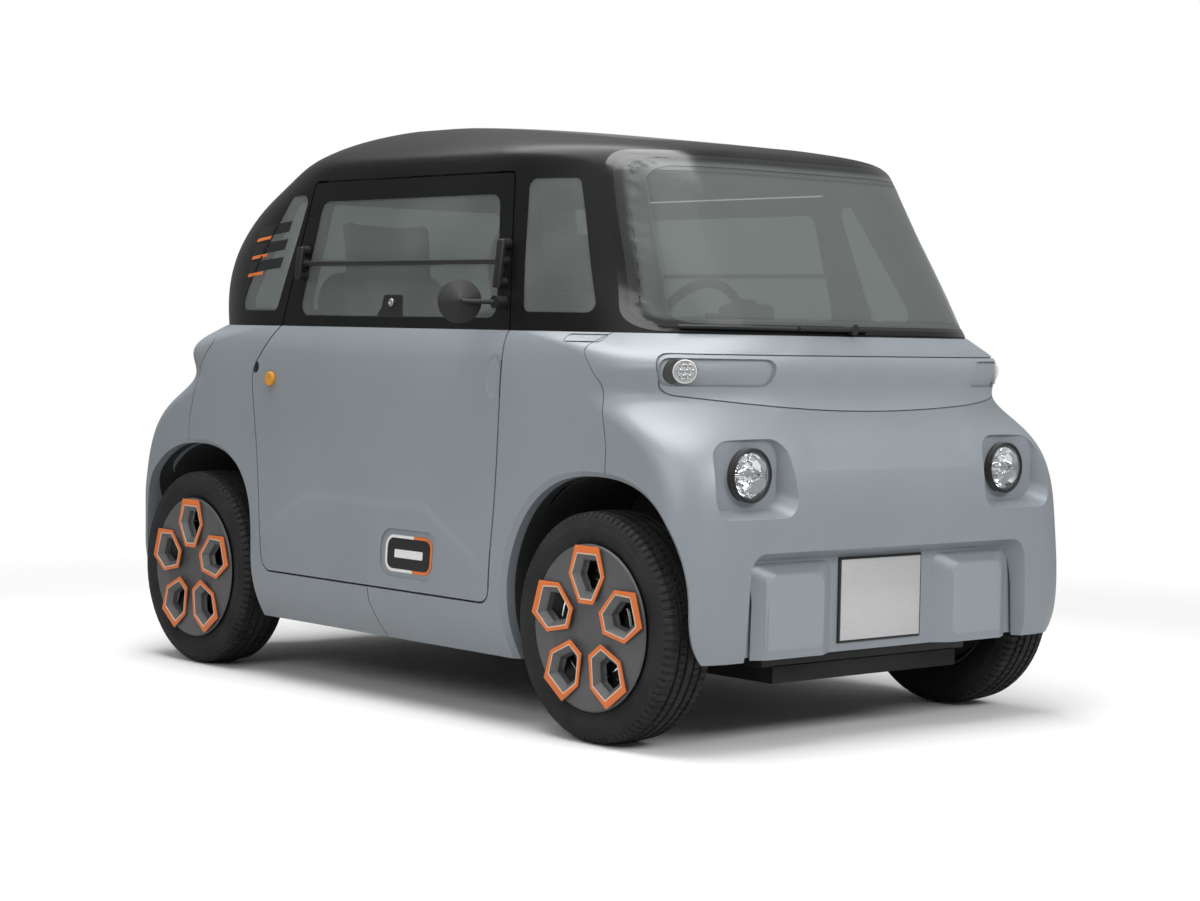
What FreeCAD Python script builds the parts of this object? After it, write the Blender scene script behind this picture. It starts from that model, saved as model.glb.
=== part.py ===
import FreeCAD, Part
import math
import os

# Two-seat electric microcar. The nose points along -Y, the car's right side is -X,
# Z is up and the origin lies on the ground in the middle of the car.
# The two ends of the body are alike, and the left side is the right side turned half
# round, so that one door, one pair of side panels and one fascia serve twice.

# Overall sizes
length = 2410
width = 1390
height = 1520
wheelbase = 1730
sill_height = 166
belt_height = 968
nose_clearance = 216
wall = 38
shut_gap = 5
door_relief = 9
groove_width = 3
press_depth = 5
seat_fit = 0.3
overrun = 300

half_length = length / 2
half_width = width / 2
axle_y = wheelbase / 2

# Body outline from the sill up to the belt, as shares
body_rise_shares = (0, 0.07, 0.167, 0.292, 0.416, 0.547, 0.66, 0.732, 0.8, 0.85, 0.9, 0.95, 0.98, 1)
body_width_shares = (
    0.93, 0.976, 1.004, 0.999, 0.984, 0.974, 0.969, 0.966, 0.963, 0.961, 0.957, 0.95, 0.94, 0.925)
body_length_shares = (
    0.975, 0.996, 1, 1, 0.9995, 0.997, 0.978, 0.95, 0.928, 0.932, 0.953, 0.95, 0.938, 0.934)
body_turn_x_shares = (0.2, 0.21, 0.21, 0.21, 0.21, 0.21, 0.25, 0.39, 0.6, 0.6, 0.57, 0.59, 0.61, 0.62)
body_turn_y_shares = (
    0.07, 0.075, 0.08, 0.083, 0.086, 0.09, 0.115, 0.165, 0.26, 0.26, 0.25, 0.3, 0.42, 0.49)

# Cabin outline from the belt up to the crown of the roof, as shares
cabin_rise_shares = (0, 0.13, 0.293, 0.447, 0.592, 0.701, 0.774, 0.819, 0.855, 0.906, 0.955, 0.986, 1)
cabin_width_shares = (
    0.921, 0.911, 0.898, 0.883, 0.872, 0.863, 0.852, 0.826, 0.784, 0.705, 0.59, 0.475, 0.374)
cabin_front_shares = (
    0.931, 0.895, 0.848, 0.803, 0.762, 0.73, 0.705, 0.682, 0.606, 0.432, 0.216, 0.05, -0.05)
cabin_rear_shares = (
    0.931, 0.936, 0.923, 0.881, 0.805, 0.705, 0.643, 0.61, 0.585, 0.539, 0.465, 0.382, 0.315)
cabin_turn_x_shares = (
    0.619, 0.619, 0.612, 0.604, 0.59, 0.583, 0.576, 0.561, 0.547, 0.511, 0.432, 0.345, 0.273)
cabin_turn_y_shares = (
    0.49, 0.452, 0.432, 0.427, 0.419, 0.398, 0.373, 0.357, 0.34, 0.307, 0.249, 0.183, 0.108)
cabin_drop_shares = (0, 0, 0, 0, 0, 0.1, 0.3, 0.5, 0.7, 0.9, 1, 1, 1)

# Side openings, on the right side, front towards -Y
door_front = -505
door_front_top = -461
door_foot = 296
door_rear_foot = 490
door_rear_hip = 600
door_hip_height = 845
door_rear_belt = 492
door_rear_top = 396
door_top = 1362
door_corner = 40
door_hip_corner = 90
window_front = -447
window_front_top = -412
window_rear = 412
window_rear_top = 352
window_foot = 998
window_top = 1306
window_corner = 34
rail_height = 1138
rail_split = 6
front_light_rear = -546
front_light_rear_top = -508
front_light_front = -775
front_light_front_top = -648
front_light_foot = 1014
front_light_top = 1342
rear_light_front = 524
rear_light_front_top = 416
rear_light_rear = 735
rear_light_rear_top = 505
rear_light_foot = 1010
rear_light_top = 1326
light_corner = 22
glass = 6
glass_inset = 2

# Pressings in the door skin, on the right side
grip_y = -477
grip_height = 856
grip_half = 29
grip_rise = 53
lock_y = 577
lock_height = 854
lock_radius = 17
button_y = 507
button_height = 823
button_radius = 20
badge_y = -170
badge_height = 393
badge_half = 117
badge_rise = 62
badge_corner = 40
pin_radius = 2.2
pin_half = 45
pin_heights = (385, 850)
flap_front = -826
flap_rear = -717
flap_foot = 945
flap_top = 962
flap_corner = 7

# Window bar and mirrors
clamp_front = -465
clamp_front_foot = 1085
clamp_front_top = 1180
clamp_rear = 400
clamp_rear_foot = 1105
clamp_rear_top = 1172
clamp_radius = 14
clamp_stand = 22
rail_radius = 7
rail_stand = 14
mirror_mount_right = -470
mirror_mount_left = -442
mirror_height = 1037
mirror_block = 16
mirror_x = -745
mirror_back = 28
mirror_turn = 30
mirror_radius = 54
mirror_deep = 26
mirror_rim = 12
mirror_stalk = 6

# End openings
screen_foot = 985
screen_foot_half = 552
screen_top = 1392
screen_top_half = 470
screen_corner = 70
back_light_foot = 1020
back_light_foot_half = 500
back_light_top = 1330
back_light_top_half = 420
roof_light_half = 350
roof_light_front = -640
roof_light_rear = 330
roof_light_corner = 90
wiper_outer = -505
wiper_inner = -25
wiper_height = 985
wiper_stand = 12
wiper_radius = 5
root_sink = 4
wiper_pivot_x = -85
wiper_pivot_radius = 13

# Fascias, bands and lamps
fascia_line_top = 826
fascia_line_waist = 797
fascia_line_hip = 872
fascia_line_foot = 905
fascia_waist_height = 928
fascia_hip_height = 845
fascia_foot_height = 700
band_half = 612
band_foot_half = 584
band_top = 920
band_foot = 828
band_sag = 38
band_corner = 34
lamp_x = 451
lamp_height = 644
lamp_radius = 64
lamp_bulge = 7
dome_share = 0.76
lamp_depth = 45
lamp_back = 1148
recess_x = 462
recess_half = 133
recess_rise = 100
recess_corner = 46
recess_taper_share = 0.8
signal_x = 556
signal_height = 880
signal_radius = 31
channel_inner = 350
channel_outer = 600
channel_foot = 846
channel_top = 912
channel_corner = 26
channel_deep = 9
grille_half_foot = 520
grille_half_top = 474
grille_top = 456
grille_corner = 50
grille_depth = 42
grille_slope = 10
pad_inner = 230
pad_outer_foot = 425
pad_outer_top = 410
pad_top = 414
pad_corner = 34
pad_stand = 28
pad_spread = 50
lip_chamfer = 12

# Wheels
tyre_radius = 275
axle_height = tyre_radius
tyre_width = 155
track_half = 604
tread_half = 60
tread_crown = 3
shoulder_half = 71
shoulder_radius = 261
sidewall_radius = 232
bead_radius = 178
bead_half = 54
bead_land = 16
rim_half = 62
rim_wall = 5
rim_well_radius = 158
rim_well_half = 30
rim_disc_place = 22
rim_disc_wall = 9
rim_disc_dish = 24
rim_port_radius = 15
rim_port_place = 112
rim_port_count = 10
hub_radius = 54
spindle_radius = 14
bearing_fit = 0.05
drum_radius = 98
drum_wide = 46
cover_radius = 198
cover_face = 687
cover_wall = 4
cover_edge_back = 9
cover_middle_back = 12
cover_middle_radius = 46
port_count = 5
port_inner = 57
port_outer = 194
port_waist = 125
port_inner_half = 26
port_outer_half = 42
port_waist_half = 64
port_stand = 4
port_frame_share = 0.84
port_hole_share = 0.5
cover_wall_share = 0.08
port_deep = 26

# Wheel wells
arch_half = 305
arch_rise = 308
arch_base = 322
arch_square = 2.4
arch_steps = 12
liner = 6
liner_inner = 330

# Floor, frame and heavy units
floor_height = 186
floor_thick = 14
cabin_half = 545
shelf_height = 430
shelf_half = 1090
parcel_height = 915
access_half = 215
access_top = 400
rail_x = 300
rail_wide = 50
rail_tall = 40
frame_end = 1120
tower_x = 235
tower_wide = 27
tower_half = 80
tower_top = 372
tower_window = 42
battery_wide = 420
battery_long = 520
battery_tall = 160
battery_x = -310
battery_y = 200
motor_radius = 110
motor_half = 190
motor_y = 905
motor_height = 313
gearbox_half = 95
shaft_radius = 12
shaft_end = 508

# Running gear
kingpin_x = 548
kingpin_radius = 9
kingpin_half = 115
eye_radius = 18
eye_half = 12
eye_place = 100
upright_half = 86
upright_wide = 36
upright_deep = 44
arm_radius = 12
arm_spread = 60
arm_drop = 58
strut_x = 430
strut_top_x = 400
strut_radius = 17
strut_rod_radius = 9
strut_post_radius = 20
strut_post_rise = 104
rear_post_rise = 26
spring_head_share = 0.06
spring_radius = 34
rack_back = 95
rack_radius = 22
rack_half = 180
tie_radius = 9
ball_radius = 11
ball_x = 533
steer_arm_gap = 5
steer_arm_radius = 9
beam_back = 150
beam_radius = 28
beam_half = 415
trail_radius = 22
carrier_radius = 34
carrier_inner = 400
carrier_outer = 540

# Dashboard, column and steering wheel
dash_front = 1060
dash_rear = 470
dash_top = 945
dash_deep = 190
dash_clear = 2
wheel_x = 250
wheel_y = -235
wheel_height = 945
column_radius = 28
column_pin_radius = 12
column_pin_length = 26
boss_radius = 48
boss_deep = 40
boss_gap = 2
grip_radius = 13
grip_rise = 18
steering_radius = 165
spoke_radius = 9
pod_half = 90
pod_rise = 62
pod_deep = 70
cradle_x = 35
cradle_half = 42
cradle_rise = 78
cradle_thick = 16

# Seats
seat_right_x = -300
seat_right_y = 210
seat_left_x = 300
seat_left_y = 60
seat_wide = 440
seat_deep = 420
seat_height = 430
seat_back_top = 1120
seat_back_lean = 84
seat_corner = 90
shell_thick = 24
plinth_wide = 220
plinth_long = 280
pad_thick = 48
pad_back_thick = 36
pad_back_gap = 96
pad_margin = 24

# Sill split under the doors
sill_split_top = 4
sill_split_foot = -30


def vec(x, y, z):
    return FreeCAD.Vector(x, y, z)


zero = vec(0, 0, 0)
along_x = vec(1, 0, 0)
along_y = vec(0, 1, 0)
along_z = vec(0, 0, 1)


def turned(shape):
    # the same piece for the other side, half a turn about the middle of the car
    other = shape.copy()
    other.rotate(zero, along_z, 180)
    return other


def mirrored(shape):
    return shape.mirror(zero, along_x)


def group(shapes):
    # several solids of one body in one file
    return Part.makeCompound([solid for shape in shapes for solid in shape.Solids])


def level(z, half_x, front, rear, turn_x, turn_y):
    # control points round one level: quarter ellipses at the corners, straight lines between
    flat_x = half_x - turn_x
    corners = []
    for side, end, inward, order in (
            (1, rear, -1, 1), (-1, rear, -1, -1), (-1, -front, 1, 1), (1, -front, 1, -1)):
        run = [
            vec(side * half_x, end + inward * turn_y, z), vec(side * half_x, end, z),
            vec(side * flat_x, end, z)]
        corners.append(run[::order])
    stretches = []
    for i in range(len(corners)):
        stretches += [corners[i], [corners[i][-1], corners[(i + 1) % len(corners)][0]]]
    return stretches


def moulded(levels):
    # a closed solid with smooth sides drawn through levels of control points
    degree = 3
    count = len(levels)
    spans = count - degree
    knots = [i / spans for i in range(spans + 1)]
    repeats = [degree + 1] + [1] * (spans - 1) + [degree + 1]
    faces, low, high = [], [], []
    for stretch in range(len(levels[0])):
        points = [list(column) for column in zip(*[one[stretch] for one in levels])]
        size = len(points)
        pulls = [1, math.sqrt(0.5), 1] if size > 2 else [1, 1]
        surface = Part.BSplineSurface()
        surface.buildFromPolesMultsKnots(
            points, [size, size], repeats, [0, 1], knots, False, False, size - 1, degree,
            [[pull] * count for pull in pulls])
        faces.append(surface.toShape())
        low.append(surface.vIso(0).toShape())
        high.append(surface.vIso(1).toShape())
    for rim in (low, high):
        faces.append(Part.Face(Part.Wire(Part.__sortEdges__(rim))))
    skin = Part.makeShell(faces)
    skin.sewShape()
    solid = Part.Solid(skin)
    if solid.Volume < 0:
        solid.reverse()
    return solid


def body_form(inset):
    # the outside of the lower body, drawn in by an inset
    rise = belt_height - sill_height
    levels = []
    for i, share in enumerate(body_rise_shares):
        reach = body_length_shares[i] * half_length - inset
        levels.append(level(
            sill_height + share * rise, body_width_shares[i] * half_width - inset, reach, reach,
            body_turn_x_shares[i] * half_width - inset, body_turn_y_shares[i] * half_length - inset))
    return moulded(levels)


def cabin_form(inset):
    # the outside of the roof and windows, drawn in by an inset
    rise = height - belt_height
    levels = []
    for i, share in enumerate(cabin_rise_shares):
        levels.append(level(
            belt_height + share * rise - cabin_drop_shares[i] * inset,
            cabin_width_shares[i] * half_width - inset,
            cabin_front_shares[i] * half_length - inset, cabin_rear_shares[i] * half_length - inset,
            cabin_turn_x_shares[i] * half_width - inset, cabin_turn_y_shares[i] * half_length - inset))
    return moulded(levels)


def rounded(points, place):
    # a closed outline through corners given as along, up and corner radius
    count = len(points)
    edges = []
    joins = []
    for i in range(count):
        a, b, c = points[i - 1], points[i], points[(i + 1) % count]
        before = (a[0] - b[0], a[1] - b[1])
        after = (c[0] - b[0], c[1] - b[1])
        size_before = math.hypot(*before)
        size_after = math.hypot(*after)
        u = (before[0] / size_before, before[1] / size_before)
        w = (after[0] / size_after, after[1] / size_after)
        if b[2] == 0:
            joins.append((b[:2], None, b[:2]))
            continue
        half = math.acos(max(-1, min(1, u[0] * w[0] + u[1] * w[1]))) / 2
        run = b[2] / math.tan(half)
        reach = b[2] / math.sin(half)
        middle = (u[0] + w[0], u[1] + w[1])
        size = math.hypot(*middle)
        centre = (b[0] + middle[0] / size * reach, b[1] + middle[1] / size * reach)
        start = (b[0] + u[0] * run, b[1] + u[1] * run)
        stop = (b[0] + w[0] * run, b[1] + w[1] * run)
        tip = (centre[0] - middle[0] / size * b[2], centre[1] - middle[1] / size * b[2])
        joins.append((start, tip, stop))
    for i in range(count):
        start, tip, stop = joins[i]
        following = joins[(i + 1) % count][0]
        if tip:
            edges.append(Part.Arc(place(*start), place(*tip), place(*stop)).toShape())
        if math.hypot(following[0] - stop[0], following[1] - stop[1]) > seat_fit:
            edges.append(Part.LineSegment(place(*stop), place(*following)).toShape())
    return Part.Face(Part.Wire(edges))


def side_cut(points, spread=0):
    # an opening seen from the side, cut through the right side only
    face = rounded(points, lambda y, z: vec(-half_width - overrun, y, z))
    if spread:
        face = face.makeOffset2D(spread)
    return face.extrude(along_x * (half_width + overrun - liner_inner))


def end_cut(points, sign):
    # an opening seen from an end, cut through that end only
    face = rounded(points, lambda x, z: vec(x, sign * (half_length + overrun), z))
    return face.extrude(along_y * (-sign * half_length))


def panel(low, high, foot, top, corner):
    # a rounded oblong outline between two places along and two up
    return [(low, foot, corner), (high, foot, corner), (high, top, corner), (low, top, corner)]


def box(x0, x1, y0, y1, z0, z1):
    return Part.makeBox(x1 - x0, y1 - y0, z1 - z0, vec(x0, y0, z0))


def block(x0, x1, y0, y1, z0, z1, radius):
    # a box with rounded upright edges
    shape = box(x0, x1, y0, y1, z0, z1)
    uprights = [e for e in shape.Edges if abs(e.Vertexes[0].Z - e.Vertexes[1].Z) > seat_fit]
    return shape.makeFillet(radius, uprights)


def rod(radius, start, stop):
    way = stop.sub(start)
    return Part.makeCylinder(radius, way.Length, start, way)


def disc(radius, x0, x1, y, z):
    return Part.makeCylinder(radius, x1 - x0, vec(x0, y, z), along_x)


def joined(shapes):
    # one solid out of pieces that meet
    return shapes[0].multiFuse(shapes[1:])


def side_place(form, y, z):
    # the place on a form's right side that is seen from the side at y and z
    line = Part.makeLine(vec(-width, y, z), vec(0, y, z))
    return vec(min(v.X for v in form.common(line).Vertexes), y, z)


def front_place(form, x, z):
    # the place on a form's front that is seen from the front at x and z
    line = Part.makeLine(vec(x, -length, z), vec(x, 0, z))
    return vec(x, min(v.Y for v in form.common(line).Vertexes), z)


def keep(name, shape):
    shape.exportStep("parts/" + name + ".step")


os.makedirs("parts", exist_ok=True)

# Body forms

body_outer = body_form(0)
body_skin = body_outer.cut(body_form(press_depth))
cabin_outer = cabin_form(0)
cabin_clear = cabin_form(-seat_fit)
body_wall = body_outer.cut(body_form(wall))
cabin_wall = cabin_outer.cut(cabin_form(wall))

# Outlines seen from the side

door_points = [
    (door_front, door_foot, door_corner),
    (door_rear_foot, door_foot, door_corner),
    (door_rear_hip, door_hip_height, door_hip_corner),
    (door_rear_belt, belt_height, door_corner),
    (door_rear_top, door_top, door_corner / 2),
    (door_front_top, door_top, door_corner / 2),
    (door_front, belt_height, 0)]
window_points = [
    (window_front, window_foot, window_corner),
    (window_rear, window_foot, window_corner),
    (window_rear_top, window_top, window_corner),
    (window_front_top, window_top, window_corner)]
front_light_points = [
    (front_light_front, front_light_foot, light_corner),
    (front_light_rear, front_light_foot, light_corner),
    (front_light_rear_top, front_light_top, light_corner),
    (front_light_front_top, front_light_top, light_corner)]
rear_light_points = [
    (rear_light_front, rear_light_foot, light_corner),
    (rear_light_rear, rear_light_foot, light_corner),
    (rear_light_rear_top, rear_light_top, light_corner),
    (rear_light_front_top, rear_light_top, light_corner)]

door_cut = side_cut(door_points)
door_shape = side_cut(door_points, -shut_gap)
window_cut = side_cut(window_points)
front_light_cut = side_cut(front_light_points)
rear_light_cut = side_cut(rear_light_points)

# Outlines seen from an end


def end_opening(half_foot, foot, half_top, top, corner, sign):
    return end_cut([
        (-half_foot, foot, corner / 2), (half_foot, foot, corner / 2),
        (half_top, top, corner), (-half_top, top, corner)], sign)


screen_cut = end_opening(screen_foot_half, screen_foot, screen_top_half, screen_top, screen_corner, -1)
back_light_cut = end_opening(
    back_light_foot_half, back_light_foot, back_light_top_half, back_light_top, screen_corner, 1)
roof_light_cut = block(
    -roof_light_half, roof_light_half, roof_light_front, roof_light_rear,
    screen_top, height + overrun, roof_light_corner)

# Glazing: thin pieces of the cabin form, flush in their openings

glazing = cabin_form(glass_inset).cut(cabin_form(glass_inset + glass))
keep("windscreen", glazing.common(screen_cut))
keep("rear_window", glazing.common(back_light_cut))
keep("roof_glass", glazing.common(roof_light_cut))
quarter_glass = [glazing.common(front_light_cut), glazing.common(rear_light_cut)]
keep("quarter_glass", group(quarter_glass + [turned(pane) for pane in quarter_glass]))

# Roof shell with its pillars

roof = cabin_wall.cut([
    screen_cut, back_light_cut, roof_light_cut, door_cut, turned(door_cut), front_light_cut,
    rear_light_cut, turned(front_light_cut), turned(rear_light_cut)])
keep("roof_shell", roof)

# Wiper, parked along the foot of the windscreen

blade_places = [wiper_outer + (wiper_inner - wiper_outer) * i / 6 for i in range(7)]
blade_points = [front_place(cabin_outer, x, wiper_height) - along_y * wiper_stand for x in blade_places]
blade_line = Part.BSplineCurve()
blade_line.interpolate(blade_points)
blade_end = Part.Face(Part.Wire(Part.makeCircle(
    wiper_radius, blade_points[0], blade_points[1].sub(blade_points[0]))))
blade = Part.Wire(blade_line.toShape()).makePipe(blade_end)
pivot = front_place(cabin_outer, wiper_pivot_x, wiper_height)
pivot_post = rod(wiper_pivot_radius, pivot + along_y * root_sink, pivot - along_y * (2 * wiper_stand))
blade_middle = blade_points[3] - along_y * wiper_radius
arm = rod(wiper_radius, pivot - along_y * (2 * wiper_stand - wiper_radius), blade_middle)
keep("wiper", joined([blade, pivot_post, arm]).cut(cabin_clear))

# Wheel arches


def arch_solid(half, rise, y, x0, x1):
    # a full arch: a squared ellipse on two uprights, across from one place to another
    places = []
    for i in range(arch_steps + 1):
        turn = math.pi * i / arch_steps
        across, up = math.cos(turn), math.sin(turn)
        along = math.copysign(abs(across) ** (2 / arch_square), across) * half
        places.append(vec(x0, y + along, arch_base + abs(up) ** (2 / arch_square) * rise))
    curve = Part.BSplineCurve()
    curve.interpolate(places)
    feet = [vec(x0, y - half, 0), vec(x0, y + half, 0)]
    wire = Part.Wire([
        curve.toShape(), Part.makeLine(places[-1], feet[0]), Part.makeLine(feet[0], feet[1]),
        Part.makeLine(feet[1], places[0])])
    return Part.Face(wire).extrude(along_x * (x1 - x0))


def lip_edges(shape, form, y):
    # the edges of one right arch that lie on the outer skin
    skin = form.Shells[0]
    found = []
    for edge in shape.Edges:
        box_of = edge.BoundBox
        too_low = box_of.ZMax < nose_clearance
        if box_of.XMax > -liner_inner or too_low or box_of.ZMax > arch_base + 2 * arch_rise:
            continue
        if abs(box_of.YMin - y) > arch_half + wall or abs(box_of.YMax - y) > arch_half + wall:
            continue
        ends = [edge.valueAt(edge.FirstParameter + (edge.LastParameter - edge.FirstParameter) * share)
                for share in (0, 0.5, 1)]
        if all(skin.distToShape(Part.Vertex(place))[0] < seat_fit for place in ends):
            found.append(edge)
    return found


well_front = arch_solid(arch_half, arch_rise, -axle_y, -half_width - overrun, -liner_inner)
well_rear = arch_solid(arch_half, arch_rise, axle_y, -half_width - overrun, -liner_inner)
wells = [well_front, well_rear, turned(well_front), turned(well_rear)]

arched = body_wall.cut(wells)
for y in (-axle_y, axle_y):
    arched = arched.makeChamfer(lip_chamfer, lip_edges(arched, body_outer, y))
    arched = turned(arched)
    arched = arched.makeChamfer(lip_chamfer, lip_edges(arched, body_outer, y))
    arched = turned(arched)
ends_below = box(-width, width, -length, -axle_y, 0, nose_clearance)
shell = arched.cut([ends_below, turned(ends_below)])

# Pressings and seam grooves in the outer skin


def ring(points):
    # a groove's width on both sides of an outline seen from the side
    return side_cut(points, groove_width / 2).cut(side_cut(points, -groove_width / 2))


# Doors

door_leaf = joined([shell, cabin_wall]).common(door_shape)
inner_forms = joined([body_form(wall / 2), cabin_form(wall / 2)])
door_core = inner_forms.cut(side_cut(door_points, -shut_gap - door_relief))
door_leaf = door_leaf.cut([door_core, window_cut])
grip_points = panel(
    grip_y - grip_half, grip_y + grip_half, grip_height - grip_rise, grip_height + grip_rise,
    grip_half - seat_fit)
badge_points = panel(
    badge_y - badge_half, badge_y + badge_half, badge_height - badge_rise, badge_height + badge_rise,
    badge_corner)
lock_pocket = disc(lock_radius, -width, 0, lock_y, lock_height)
door_leaf = door_leaf.cut([
    body_skin.common(side_cut(grip_points)), body_skin.common(side_cut(badge_points)),
    body_skin.common(lock_pocket)])
button_top = side_place(body_outer, button_y, button_height)
button = disc(button_radius, button_top.x - press_depth, button_top.x + press_depth, button_y, button_height)
door_right = joined([door_leaf, button])
keep("door_panel_right", door_right)
keep("door_panel_left", turned(door_right))
split = box(
    -width, width, -length, length, rail_height - rail_split / 2, rail_height + rail_split / 2)
panes = group([glazing.common(window_cut).cut(split)])
keep("door_glass_right", panes)
keep("door_glass_left", turned(panes))

# Hinge pins in the gap along each door's front edge

pin_y = door_front + shut_gap / 2
pin_places = [side_place(body_outer, pin_y, z) + along_x * pin_radius for z in pin_heights]
pin_way = (pin_places[1] - pin_places[0]).normalize()
pins = [rod(pin_radius, place - pin_way * pin_half, place + pin_way * pin_half) for place in pin_places]
keep("door_hinges", group(pins + [turned(pin) for pin in pins]))

# Window bar with its clamps, and the mirror on its block


def window_rail():
    # the bar across the window, held by a clamp on the door frame at each end
    ends = [side_place(cabin_outer, y, rail_height) - along_x * rail_stand for y in (clamp_front, clamp_rear)]
    pieces = [rod(rail_radius, ends[0], ends[1])]
    for y, low, high in (
            (clamp_front, clamp_front_foot, clamp_front_top), (clamp_rear, clamp_rear_foot, clamp_rear_top)):
        foot, middle, top = [side_place(cabin_outer, y, z) for z in (low, rail_height, high)]
        for place in (foot, middle, top):
            pieces.append(rod(clamp_radius, place + along_x * root_sink, place - along_x * clamp_stand))
        pieces.append(rod(rail_radius, foot - along_x * rail_stand, top - along_x * rail_stand))
    return joined(pieces).cut(cabin_clear)


def mirror(mount_y):
    # a round mirror on a stalk from a block on the door frame
    mount = side_place(cabin_outer, mount_y, mirror_height)
    centre = vec(mirror_x, mount_y + mirror_back, mirror_height)
    look = vec(math.sin(math.radians(mirror_turn)), math.cos(math.radians(mirror_turn)), 0)
    shape = joined([
        rod(mirror_block, mount + along_x * root_sink, mount - along_x * (2 * mirror_block)),
        rod(mirror_stalk, mount - along_x * mirror_block, centre),
        Part.makeCone(mirror_stalk, mirror_radius, mirror_deep, centre, look),
        Part.makeCylinder(mirror_radius, mirror_rim, centre + look * mirror_deep, look)])
    return shape.cut(cabin_clear)


rail = window_rail()
keep("mirror_rail_right", group([rail, mirror(mirror_mount_right)]))
keep("mirror_rail_left", group([turned(rail), mirrored(mirror(mirror_mount_left))]))

# Fascias, bands and side panels

fascia_points = [
    (-fascia_line_top, belt_height + overrun, 0), (-fascia_line_top, belt_height, 0),
    (-fascia_line_waist, fascia_waist_height, recess_corner / 2),
    (-fascia_line_hip, fascia_hip_height, recess_corner),
    (-fascia_line_foot, fascia_foot_height, recess_corner),
    (-fascia_line_foot, 0, 0), (-length, 0, 0), (-length, belt_height + overrun, 0)]
fascia_face = rounded(fascia_points, lambda y, z: vec(-width, y, z))
fascia_cut = fascia_face.extrude(along_x * (2 * width))
seam_face = fascia_face.makeOffset2D(groove_width / 2).cut(fascia_face.makeOffset2D(-groove_width / 2))
seam = body_skin.common(seam_face.extrude(along_x * (2 * width)))
flap_points = panel(flap_front, flap_rear, flap_foot, flap_top, flap_corner)
flap_seam = body_skin.common(ring(flap_points))

shell = shell.cut([door_cut, turned(door_cut), seam, turned(seam), flap_seam])
fascia = shell.common(fascia_cut)
sides = shell.cut([fascia_cut, turned(fascia_cut)])

deep_wall = body_outer.cut(body_form(wall + grille_depth))


def grille_outline(grow):
    return [
        (-grille_half_foot - grow, -overrun, 0), (grille_half_foot + grow, -overrun, 0),
        (grille_half_top + grow, grille_top + grow, grille_corner),
        (-grille_half_top - grow, grille_top + grow, grille_corner)]


def recess_outline(x, grow, share=1):
    a = (recess_half + grow) * share
    b = (recess_rise + grow) * share
    return panel(x - a, x + a, lamp_height - b, lamp_height + b, recess_corner)


def pad_outline(side, grow):
    # one raised pad beside the plate, wider at its root
    inner = side * (pad_inner - grow)
    foot = side * (pad_outer_foot + grow)
    top = side * (pad_outer_top + grow)
    points = [(inner, -overrun, 0), (foot, -overrun, 0), (top, pad_top + grow / 2, pad_corner),
              (inner, pad_top + grow / 2, pad_corner)]
    return points if side > 0 else points[::-1]


def between(outer_points, outer_y, inner_points, inner_y):
    # a form that narrows from one outline to another behind it
    wires = [rounded(points, lambda x, z: vec(x, y, z)).OuterWire
             for points, y in ((outer_points, outer_y), (inner_points, inner_y))]
    return Part.makeLoft(wires, True, True)


backing = [deep_wall.common(end_cut(grille_outline(wall), -1))]
for side in (-1, 1):
    backing.append(deep_wall.common(end_cut(recess_outline(side * recess_x, wall / 2), -1)))
backing = joined(backing).cut(wells + [ends_below]).common(fascia_cut)
fascia = joined([fascia, backing])

grille_floor = half_length - grille_depth
grille = between(
    grille_outline(grille_slope), -half_length - seat_fit, grille_outline(-grille_slope), -grille_floor)
pads = [between(pad_outline(side, 0), -grille_floor - pad_stand, pad_outline(side, pad_spread),
                -grille_floor + seat_fit) for side in (-1, 1)]
cutters = [grille.cut(pads)]
for side in (-1, 1):
    cutters.append(between(
        recess_outline(side * recess_x, 0), -half_length - seat_fit,
        recess_outline(side * recess_x, 0, recess_taper_share), -lamp_back))
    cutters.append(rod(
        lamp_radius + seat_fit, vec(side * lamp_x, -lamp_back - seat_fit, lamp_height),
        vec(side * lamp_x, -lamp_back + wall + grille_depth, lamp_height)))


def band_cutter(grow):
    # the inset band between the small lamps, with a sagging lower edge
    y = -half_length - overrun
    left, right = -band_foot_half - grow, band_foot_half + grow
    foot = band_foot - grow
    tops = [vec(band_half + grow, y, band_top + grow), vec(-band_half - grow, y, band_top + grow)]
    wire = Part.Wire([
        Part.Arc(vec(left, y, foot), vec(0, y, foot - band_sag), vec(right, y, foot)).toShape(),
        Part.makeLine(vec(right, y, foot), tops[0]), Part.makeLine(tops[0], tops[1]),
        Part.makeLine(tops[1], vec(left, y, foot))])
    solid = Part.Face(wire).extrude(along_y * half_length)
    long_edges = [e for e in solid.Edges if abs(e.Vertexes[0].Y - e.Vertexes[-1].Y) > half_width]
    return solid.makeFillet(band_corner, long_edges)


fascia = fascia.cut(cutters + [band_cutter(seat_fit), body_skin.common(band_cutter(groove_width))])
band = body_wall.common(band_cutter(0))
keep("front_fascia", fascia)
keep("rear_fascia", turned(fascia))
channel_skin = body_outer.cut(body_form(channel_deep))
for side in (-1, 1):
    low, high = sorted((side * channel_inner, side * channel_outer))
    pocket = end_cut(panel(low, high, channel_foot, channel_top, channel_corner), -1)
    hole = rod(
        signal_radius + seat_fit, vec(side * signal_x, -length, signal_height),
        vec(side * signal_x, 0, signal_height))
    band = band.cut([channel_skin.common(pocket), hole])
keep("front_band", band)
keep("rear_band", turned(band))

# Lamps


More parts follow.
